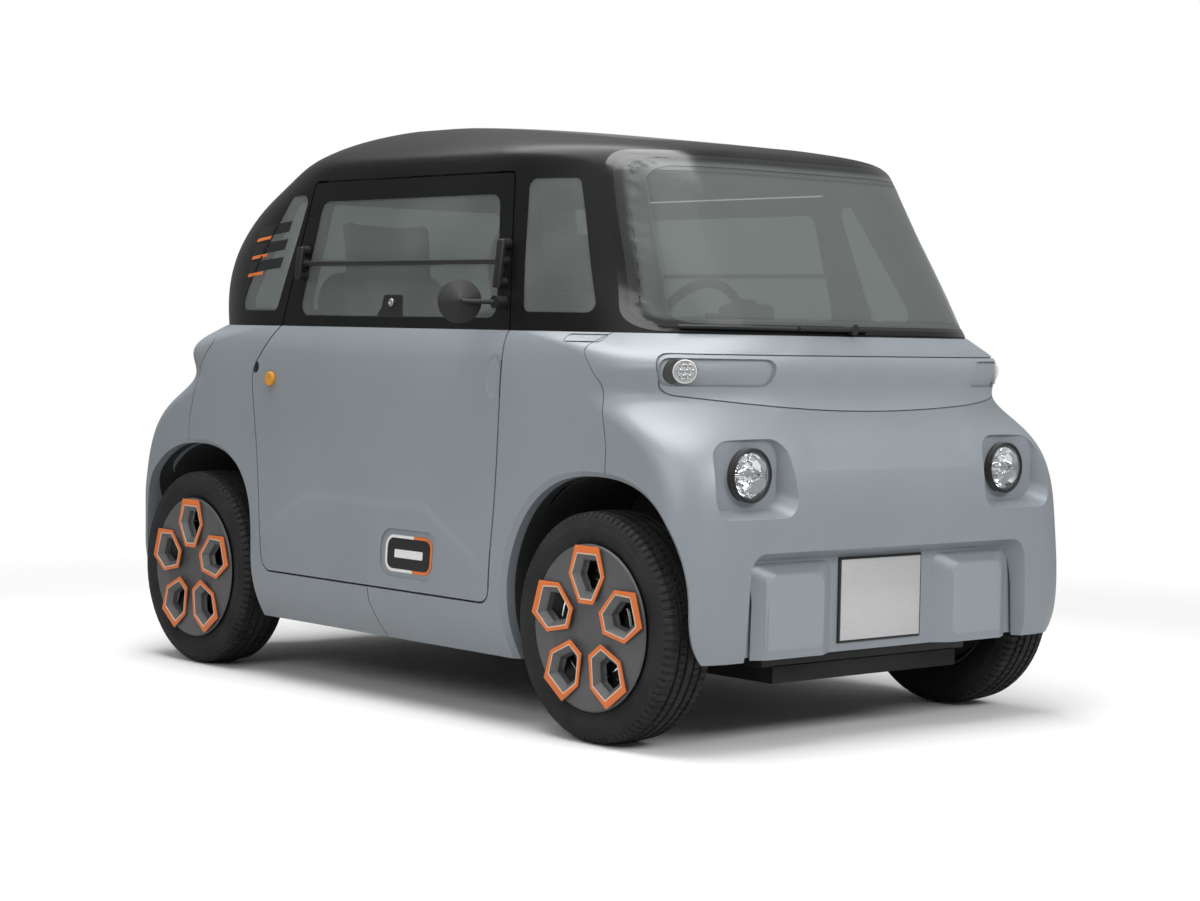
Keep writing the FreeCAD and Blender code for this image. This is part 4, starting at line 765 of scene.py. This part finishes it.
def makeBadge():
    # plain capsule in the door's pressing: black field, a white bar, a border half white and half orange
    size = badgeSize
    whole = (size["width"], size["tall"], size["radius"])
    tree = treeOf("door_panel_right")

    def laid(name, look, width, tall, radius, stand, thick, keep=0):
        # keep picks one side of the split for the hollow border
        bm = bmesh.new()
        roundedFace(bm, width, tall, radius, Matrix.Translation((size["outside"], size["y"], size["z"])), 8)
        if keep:
            inner = bmesh.ops.inset_region(bm, faces=bm.faces[:], thickness=size["border"],
                                           use_even_offset=True, use_boundary=True)
            middle = [f for f in bm.faces if f not in inner["faces"]]
            bmesh.ops.delete(bm, geom=middle, context="FACES")
            bmesh.ops.bisect_plane(bm, geom=bm.verts[:] + bm.edges[:] + bm.faces[:], dist=0.00001,
                                   plane_co=(0, size["y"] + size["split"], 0), plane_no=(0, keep, 0),
                                   clear_inner=True)
        laidOn(bm, tree, acrossX, stand, thick, size["slice"])
        addPiece(name, bm, look, "door_right", 40)

    laid("badgeField", "blackPlastic", *whole, size["low"], 0.0014)
    laid("badgeBar", "whiteTrim", *size["bar"], size["high"], 0.0012)
    laid("badgeBorderWhite", "whiteTrim", *whole, size["high"], 0.0010, 1)
    laid("badgeBorderOrange", "orangeTrim", *whole, size["high"], 0.0010, -1)


buttonSize = {"y": 0.495, "z": 0.823,
              "profile": ((-0.004, 0.0001), (-0.004, 0.0195), (0.004, 0.0195), (0.0062, 0.0175),
                          (0.0052, 0.0117), (0.0048, 0.0001))}
lockSize = {"y": 0.577, "z": 0.854,
            "profile": ((-0.004, 0.0001), (-0.004, 0.016), (0.002, 0.016), (0.004, 0.014), (0.004, 0.009),
                        (0.001, 0.0075), (0.001, 0.0001)),
            "slot": ((0.0005, -0.0011, -0.0055), (0.0018, 0.0011, 0.0055)), "slotSoft": 0.0003}


def skinPlace(tree, y, z):
    # where the right side's skin lies, with the X axis pointing out of the car
    hit, normal = tree.ray_cast(Vector((-2, y, z)), acrossX)[:2]
    return Matrix.Translation(hit) @ normal.to_track_quat("X", "Z").to_matrix().to_4x4()


def makeDoorFittings(side, turn):
    # the round handle button on the door, and the lock in the body behind it
    doorTree = treeOf("door_panel_right")
    sideTree = treeOf("quarter_rear_right", "door_panel_right")
    bm = bmesh.new()
    spun(bm, buttonSize["profile"], 40)
    addPiece("handleButton_" + side, bm, "buttonYellow", "door_" + side, 30,
             turn @ skinPlace(doorTree, buttonSize["y"], buttonSize["z"]))
    bm = bmesh.new()
    spun(bm, lockSize["profile"], 40)
    roundedBox(bm, *lockSize["slot"], lockSize["slotSoft"], 1)
    addPiece("doorLock_" + side, bm, "blackPlastic", "body", 30,
             turn @ skinPlace(sideTree, lockSize["y"], lockSize["z"]))


def softOutline(corners, radius, steps=8):
    # a closed outline whose corners are rounded by a curve
    points = []
    for i, corner in enumerate(corners):
        corner, before, after = (Vector(c) for c in (corner, corners[i - 1], corners[(i + 1) % len(corners)]))
        start = corner + (before - corner).normalized() * radius
        stop = corner + (after - corner).normalized() * radius
        for j in range(steps + 1):
            t = j / steps
            points.append(start * (1 - t) ** 2 + corner * 2 * t * (1 - t) + stop * t ** 2)
    return points


def makeScreenSurround():
    # the windscreen's edge runs out over the pillars, as one thin skin round the pane
    size = screenSize
    loops = []
    for inset, footInset, topInset in ((0, 0, 0), (size["inset"], size["footInset"], size["topInset"])):
        low, high = size["foot"] + footInset, size["top"] - topInset
        foot, top = size["halfFoot"] - inset, size["halfTop"] - inset
        loops.append(softOutline([(-foot, low), (-top, high), (top, high), (foot, low)], size["corner"]))
    bm = bmesh.new()
    rings = [[bm.verts.new((point.x, size["ahead"], point.y)) for point in loop] for loop in loops]
    for i in range(len(rings[0])):
        j = (i + 1) % len(rings[0])
        bm.faces.new((rings[0][i], rings[0][j], rings[1][j], rings[1][i]))
    laidOn(bm, treeOf("roof_shell", "windscreen"), alongY, size["stand"], size["thick"], size["slice"],
           size["bridge"])
    addPiece("screenSurround", bm, "screenSurround", "body", 40)


fillerSize = {"half": 0.36, "front": -1.118, "back": -1.060, "low": 0.1866, "high": 0.2145,
              "wall": ((0.425, -1.163, 0.222), (0.505, -1.155, 0.415))}


def makeFillers(side, turn):
    # at each end: a black strip between cross member and fascia, a dark sheet that stands in as painted shade
    # under the nose, and the recess walls beside the pads
    size = fillerSize
    end = "front" if side == "right" else "rear"
    half = size["half"]
    bm = bmesh.new()
    roundedBox(bm, (-half, size["front"], size["low"]), (half, size["back"], size["high"]), 0.003, 2)
    addPiece("shadeStrip_" + end, bm, "blackPlastic", "body", 30, turn)
    (x0, y0, z0), (x1, y1, z1) = size["wall"]
    bm = bmesh.new()
    for near, far in ((x0, x1), (-x1, -x0)):
        roundedBox(bm, (near, y0, z0), (far, y1, z1), 0.001, 1)
    addPiece("recessWalls_" + end, bm, "bodyPaint", "body", 30, turn)


padPanel = {"x": 0.325, "ahead": -1.5, "z": 0.3255, "width": 0.190, "tall": 0.179, "radius": 0.018,
            "stand": 0.0006, "thick": 0.001, "slice": 0.01}


def makePadPanels(side, turn):
    # the flat raised panels on the two pads of each fascia
    size = padPanel
    tree = treeOf("front_fascia")
    bm = bmesh.new()
    for x in (-size["x"], size["x"]):
        place = Matrix.Translation((x, size["ahead"], size["z"])) @ facingFront

        def panel(one):
            roundedFace(one, size["width"], size["tall"], size["radius"], place)
            laidOn(one, tree, alongY, size["stand"], size["thick"], size["slice"])

        joined(bm, panel)
    addPiece("padPanels_" + ("front" if side == "right" else "rear"), bm, "panelPaint", "body", 35,
             turn)


makePlate()
bothSides(makePadPanels)
makeScreenSurround()
bothSides(makeFillers)
makeStripes("right")
makeBadge()
bothSides(makeDoorFittings)
print("skin fittings laid on")


# window bar hardware, latch tabs and mirror glasses

barSize = {"front": (-0.465, 1.072, 1.192), "rear": (0.400, 1.096, 1.183), "half": 0.0125, "out": 0.030,
           "in": 0.018, "soft": 0.004}
latchSize = {"outside": -0.9, "stand": 0.0003, "thick": 0.003, "slice": 0.02, "knobY": -0.004, "knobZ": 1.034,
             "outline": ((-0.056, 0.996), (0.056, 0.996), (0.050, 1.010), (0.040, 1.020), (0.035, 1.046),
                         (0.030, 1.054), (-0.044, 1.054), (-0.050, 1.046), (-0.052, 1.020), (-0.054, 1.010)),
             "knob": ((0.001, 0.0001), (0.006, 0.007), (0.006, 0.009), (0.004, 0.0108), (0.0, 0.0108))}


def makeWindowFittings(side, turn):
    # the two clamps of the window bar, and the latch tab with its knob at the pane's foot
    body = "door_" + side
    size = barSize
    tree = treeOf("roof_shell", "door_panel_right")
    bm = bmesh.new()
    for y, low, high in (size["front"], size["rear"]):
        foot, top = (tree.ray_cast(Vector((-2, y, z)), acrossX)[0] for z in (low, high))
        lean = Matrix.Translation(foot)
        lean[0][2] = (top.x - foot.x) / (high - low)

        def clamp(one):
            roundedBox(one, (-size["out"], -size["half"], 0), (-size["in"], size["half"], high - low),
                       size["soft"])
            bmesh.ops.transform(one, matrix=lean, verts=one.verts)

        joined(bm, clamp)
    addPiece("barClamps_" + side, bm, "blackPlastic", body, 30, turn)
    size = latchSize
    bm = bmesh.new()
    outline(bm, size["outline"], lambda a, b: (size["outside"], a, b))
    laidOn(bm, treeOf("door_glass_right", "door_panel_right"), acrossX, size["stand"], size["thick"],
           size["slice"])
    addPiece("latchTab_" + side, bm, "blackPlastic", body, 30, turn)
    bm = bmesh.new()
    spun(bm, size["knob"], 32)
    addPiece("latchKnob_" + side, bm, "bareSteel", body, 30,
             turn @ skinPlace(treeOf("door_glass_right"), size["knobY"], size["knobZ"]))


mirrorSize = {"x": 0.745, "z": 1.037, "right": -0.442, "left": -0.414, "turn": 30, "back": 0.0381,
              "profile": ((-0.0005, 0.0001), (-0.0005, 0.050), (0.0006, 0.050), (0.0009, 0.049),
                          (0.0016, 0.0001))}


def makeMirrorGlass(side):
    # the round glass in the back of one mirror, turned towards the cabin
    size = mirrorSize
    sign = 1 if side == "left" else -1
    angle = math.radians(size["turn"])
    look = Vector((-sign * math.sin(angle), math.cos(angle), 0))
    centre = Vector((sign * size["x"], size[side], size["z"])) + look * size["back"]
    bm = bmesh.new()
    spun(bm, size["profile"], 48)
    addPiece("mirrorGlass_" + side, bm, "chrome", "door_" + side, 30,
             Matrix.Translation(centre) @ look.to_track_quat("X", "Z").to_matrix().to_4x4())


bothSides(makeWindowFittings)
makeMirrorGlass("right")
makeMirrorGlass("left")
print("window fittings made")


# cabin: cushions, wheel pad, screen, mats and pedals

seatSize = {"right": (-0.300, 0.210), "left": (0.300, 0.060), "half": 0.192, "height": 0.430, "deep": 0.420,
            "slope": 0.1217, "seatFront": 0.206, "seatBack": 0.100, "seatRise": (0.003, 0.046),
            "backFront": 0.057, "backBack": 0.0275, "backFoot": 0.100, "backTop": 1.092,
            "headHalf": 0.150, "headFront": 0.062, "headBack": 0.018, "head": (1.080, 1.262)}
cushionSize = {"roll": 0.42, "along": 24, "across": 16, "seam": 0.006, "seamDeep": 0.007, "skin": 0.02,
               "edge": 6, "pressure": 4, "frames": 20, "cap": 0.010, "voxel": 0.006}


def swollen(piece):
    # cloth pressed outwards from a slightly small closed form, its travel capped
    size = cushionSize
    before = piece.modifiers.new("remesh", "REMESH")
    before.mode, before.voxel_size = "VOXEL", size["voxel"]
    graph = bpy.context.evaluated_depsgraph_get()
    mesh = bpy.data.meshes.new_from_object(piece.evaluated_get(graph))
    piece.modifiers.remove(before)
    piece.data = mesh
    rest = [v.co.copy() for v in mesh.vertices]
    cloth = piece.modifiers.new("cloth", "CLOTH")
    cloth.settings.use_pressure, cloth.settings.uniform_pressure_force = True, size["pressure"]
    cloth.settings.effector_weights.gravity = 0
    cloth.point_cache.frame_start, cloth.point_cache.frame_end = 1, size["frames"]
    for step in range(1, size["frames"] + 1):
        bpy.context.scene.frame_set(step)
    graph = bpy.context.evaluated_depsgraph_get()
    moved = bpy.data.meshes.new_from_object(piece.evaluated_get(graph))
    for vertex, start in zip(moved.vertices, rest):
        way = vertex.co - start
        if way.length > size["cap"]:
            vertex.co = start + way.normalized() * size["cap"]
    piece.modifiers.remove(cloth)
    piece.data = moved
    bpy.context.scene.frame_set(1)


def makeCushion(name, low, high, lean, channels):
    # a crowned pad with rolled edges, pulled in along its sewn channels; lean is for an upright one
    size = cushionSize
    bm = bmesh.new()
    roundedBox(bm, low, high, min((high[i] - low[i]) for i in range(3)) * size["roll"], 4)
    longer = 2 if lean else 1
    axis, cross = (upZ, alongY) if lean else (alongY, upZ)
    for way, part, count in ((axis, longer, size["along"]), (acrossX, 0, size["across"])):
        for i in range(count):
            at = low[part] + (high[part] - low[part]) * (i + 0.5) / count
            bmesh.ops.bisect_plane(bm, geom=bm.verts[:] + bm.edges[:] + bm.faces[:], dist=0.0001,
                                   plane_co=way * at, plane_no=way)
    piece = addPiece(name, bm, "seatCloth", "body", 60)
    swollen(piece)
    middle, half = (low[0] + high[0]) / 2, (high[0] - low[0]) / 2
    for vertex in piece.data.vertices:
        spot = vertex.co
        seam = max(math.exp(-((spot[longer] - at) / size["seam"]) ** 2) for at in channels)
        edge = max(0, 1 - (abs(spot.x - middle) / half) ** size["edge"])
        if lean:
            front = spot.dot(cross) < low[1] + size["skin"]
        else:
            front = spot.z > high[2] - size["skin"]
        if front:
            spot += cross * (size["seamDeep"] * seam * edge) * (1 if lean else -1)
        if lean:
            spot.y += seatSize["slope"] * (spot.z - seatSize["height"])
    piece.data.polygons.foreach_set("use_smooth", [True] * len(piece.data.polygons))
    piece.data.materials.clear()
    piece.data.materials.append(finish["seatCloth"].material)
    return piece


for side in ("right", "left"):
    size = seatSize
    (x, y), half, height = size[side], size["half"], size["height"]
    rear = y + size["deep"] / 2
    seatLow, seatHigh = (height + rise for rise in size["seatRise"])
    seat = makeCushion("seatCushion_" + side, (x - half, y - size["seatFront"], seatLow),
                       (x + half, rear - size["seatBack"], seatHigh), False, (y - 0.08, y + 0.03))
    makeCushion("backCushion_" + side, (x - half, rear - size["backFront"], height + size["backFoot"]),
                (x + half, rear - size["backBack"], size["backTop"]), True, (0.66, 0.79, 0.92))
    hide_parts("seat_pads_" + side)
    half, (foot, top) = size["headHalf"], size["head"]
    makeCushion("headCushion_" + side, (x - half, rear - size["headFront"], foot),
                (x + half, rear - size["headBack"], top), True, (1.17,))
print("cushions made")


columnSize = {"hub": (0.25, -0.235, 0.945), "way": (0, 0.94447, 0.32866), "pad": 0.020}
clusterSize = {"at": (0.25, -0.3838, 1.008), "width": 0.150, "tall": 0.040, "radius": 0.008, "thick": 0.001}
pedalSize = {"x": (0.21, 0.29), "half": 0.03, "front": -0.505, "back": -0.490, "foot": 0.275, "top": 0.335,
             "armHalf": 0.007, "armFront": -0.545, "armBack": -0.500, "armFoot": 0.330, "armTop": 0.344}
matSize = {"right": (-0.3, -0.08), "left": (0.3, -0.12), "half": 0.2, "front": -0.50, "foot": 0.2003,
           "top": 0.2065}
cabinBoxes = {  # low corner, high corner, rounding and its steps
    "wheelPad": ((-0.004, -0.062, -0.048), (0.020, 0.062, 0.040), 0.010, 4),
    "clusterHood": ((0.165, -0.452, 0.966), (0.335, -0.385, 1.052), 0.022, 4),
    "phoneClip": ((0.000, -0.640, 0.975), (0.075, -0.618, 1.060), 0.008, 3),
    "phoneFoot": ((0.028, -0.640, 0.940), (0.047, -0.624, 0.985), 0.004, 2),
}


def makeWheelPad():
    way = Vector(columnSize["way"])
    centre = Vector(columnSize["hub"]) + way * columnSize["pad"]
    bm = bmesh.new()
    roundedBox(bm, *cabinBoxes["wheelPad"])
    addPiece("wheelPad", bm, "cabinPlastic", "steering_wheel", 30,
             Matrix.Translation(centre) @ way.to_track_quat("X", "Z").to_matrix().to_4x4())


def makeClusterScreen():
    size = clusterSize
    bm = bmesh.new()
    roundedFace(bm, size["width"], size["tall"], size["radius"], Matrix.Translation(size["at"]) @ facingFront)
    bmesh.ops.solidify(bm, geom=bm.faces[:], thickness=size["thick"])
    addPiece("clusterScreen", bm, "screenBlack", "body", 30)


def makePedals():
    size = pedalSize
    bm = bmesh.new()
    for x in size["x"]:
        half, arm = size["half"], size["armHalf"]
        roundedBox(bm, (x - half, size["front"], size["foot"]), (x + half, size["back"], size["top"]), 0.004)
        roundedBox(bm, (x - arm, size["armFront"], size["armFoot"]),
                   (x + arm, size["armBack"], size["armTop"]), 0.003)
    addPiece("pedals", bm, "blackPlastic", "body", 30)


def makeFloorMat(side):
    size = matSize
    x, back = size[side]
    bm = bmesh.new()
    roundedBox(bm, (x - size["half"], size["front"], size["foot"]), (x + size["half"], back, size["top"]),
               0.0028, 2)
    addPiece("floorMat_" + side, bm, "floorMat", "body", 30)


def makeDashPieces():
    # the hood over the instruments, and the clip for a phone beside it
    bm = bmesh.new()
    roundedBox(bm, *cabinBoxes["clusterHood"])
    addPiece("clusterHood", bm, "cabinPlastic", "body", 30)
    bm = bmesh.new()
    roundedBox(bm, *cabinBoxes["phoneClip"])
    roundedBox(bm, *cabinBoxes["phoneFoot"])
    addPiece("phoneHolder", bm, "blackPlastic", "body", 30)


makeWheelPad()
makeClusterScreen()
makePedals()
makeFloorMat("right")
makeFloorMat("left")
makeDashPieces()
print("cabin furnished")


# floor, light and camera

floorSize = {"half": 40, "fade": (1.7, 4.2), "bounce": (0.58, 0.58, 0.58)}


def makeStage():
    # pale floor that runs out to white where the camera sees it, and sends less light back up
    size = floorSize
    bm = bmesh.new()
    bmesh.ops.create_grid(bm, x_segments=1, y_segments=1, size=size["half"])
    mesh = bpy.data.meshes.new("studioFloor")
    bm.to_mesh(mesh)
    bm.free()
    floor = bpy.data.objects.new("studioFloor", mesh)
    bpy.context.scene.collection.objects.link(floor)
    made = Finish("paleFloor", (0.9, 0.9, 0.9), 0.6, Specular_IOR_Level=0.1)
    x, y, z = made.axes()
    reach = made.add("Math", {"operation": "SQRT"}, {0: x * x + y * y})
    white = made.add("Emission", links={"Color": (1, 1, 1, 1), "Strength": 1.0})
    pale = made.mix(made.noise(0.8, 2).ramp(*cloudFade), (0.93, 0.93, 0.93), (0.95, 0.95, 0.95))
    seen = made.seen()
    made.put("Base Color", made.mix(seen, size["bounce"], pale))
    blend = made.add("MixShader", links={
        0: reach.ramp(*size["fade"]) * seen, 1: Wire(made, made.shader.outputs[0]), 2: white})
    made.tree.links.new(blend.socket, made.result.inputs["Surface"])
    mesh.materials.append(made.material)


lights = {
    "overhead": {"at": (-0.5, 0.2, 4.2), "aim": (0, 0, 0.5), "size": (5.0, 3.0), "power": 250},
    "sideSoft": {"at": (-4.6, -2.0, 2.8), "aim": (-0.4, -0.6, 0.7), "size": (3.4, 1.8), "power": 62},
    "noseSoft": {"at": (0.6, -4.8, 3.2), "aim": (0, -0.4, 0.6), "size": (3.4, 1.6), "power": 120},
    "screenSoft": {"at": (-1.4, -1.2, 4.0), "aim": (-1.39, -1.2, 0), "size": (4.4, 1.5), "power": 22,
                   "glossyOnly": True},
}
worldLevel = 0.30


def makeLights():
    for name, light in lights.items():
        lamp = bpy.data.lights.new(name, "AREA")
        lamp.shape = "RECTANGLE"
        lamp.size, lamp.size_y = light["size"]
        lamp.energy = light["power"]
        holder = bpy.data.objects.new(name, lamp)
        bpy.context.scene.collection.objects.link(holder)
        holder.location = light["at"]
        way = Vector(light["aim"]) - Vector(light["at"])
        holder.rotation_euler = way.to_track_quat("-Z", "Y").to_euler()
        holder.visible_camera = False
        holder.visible_diffuse = not light.get("glossyOnly", False)


def makeWorld():
    # white where it is seen, weaker as a light
    world = bpy.data.worlds.new("studio")
    bpy.context.scene.world = world
    world.use_nodes = True
    sheet = Sheet(world.node_tree)
    back = sheet.tree.nodes["Background"].inputs
    back["Color"].default_value = (1, 1, 1, 1)
    level = sheet.add("MapRange", links={"Value": sheet.seen(), "To Min": worldLevel, "To Max": 1.0})
    sheet.tree.links.new(level.socket, back["Strength"])


cameraFit = {"at": (-4.53944, -5.31398, 0.97126), "yaw": 0.71759, "pitch": -0.04736, "roll": 0.01932,
             "focus": 2525.54, "frame": 1200, "sensor": 36}


def makeCamera():
    # the camera that was fitted to the photograph, its focus in pixels of the frame's width
    fit = cameraFit
    level = math.cos(fit["pitch"])
    ahead = Vector((level * math.sin(fit["yaw"]), level * math.cos(fit["yaw"]), math.sin(fit["pitch"])))
    right = ahead.cross(upZ).normalized()
    up = right.cross(ahead)
    tilt = fit["roll"]
    rightTurned = right * math.cos(tilt) + up * math.sin(tilt)
    upTurned = up * math.cos(tilt) - right * math.sin(tilt)
    eye = bpy.data.cameras.new("camera")
    eye.sensor_width = fit["sensor"]
    eye.lens = fit["focus"] * fit["sensor"] / fit["frame"]
    holder = bpy.data.objects.new("camera", eye)
    bpy.context.scene.collection.objects.link(holder)
    turned = Matrix((rightTurned, upTurned, -ahead)).transposed().to_4x4()
    holder.matrix_world = Matrix.Translation(fit["at"]) @ turned
    bpy.context.scene.camera = holder


makeStage()
makeLights()
makeWorld()
makeCamera()
bpy.context.scene.view_settings.view_transform = "Standard"
print("studio lit")
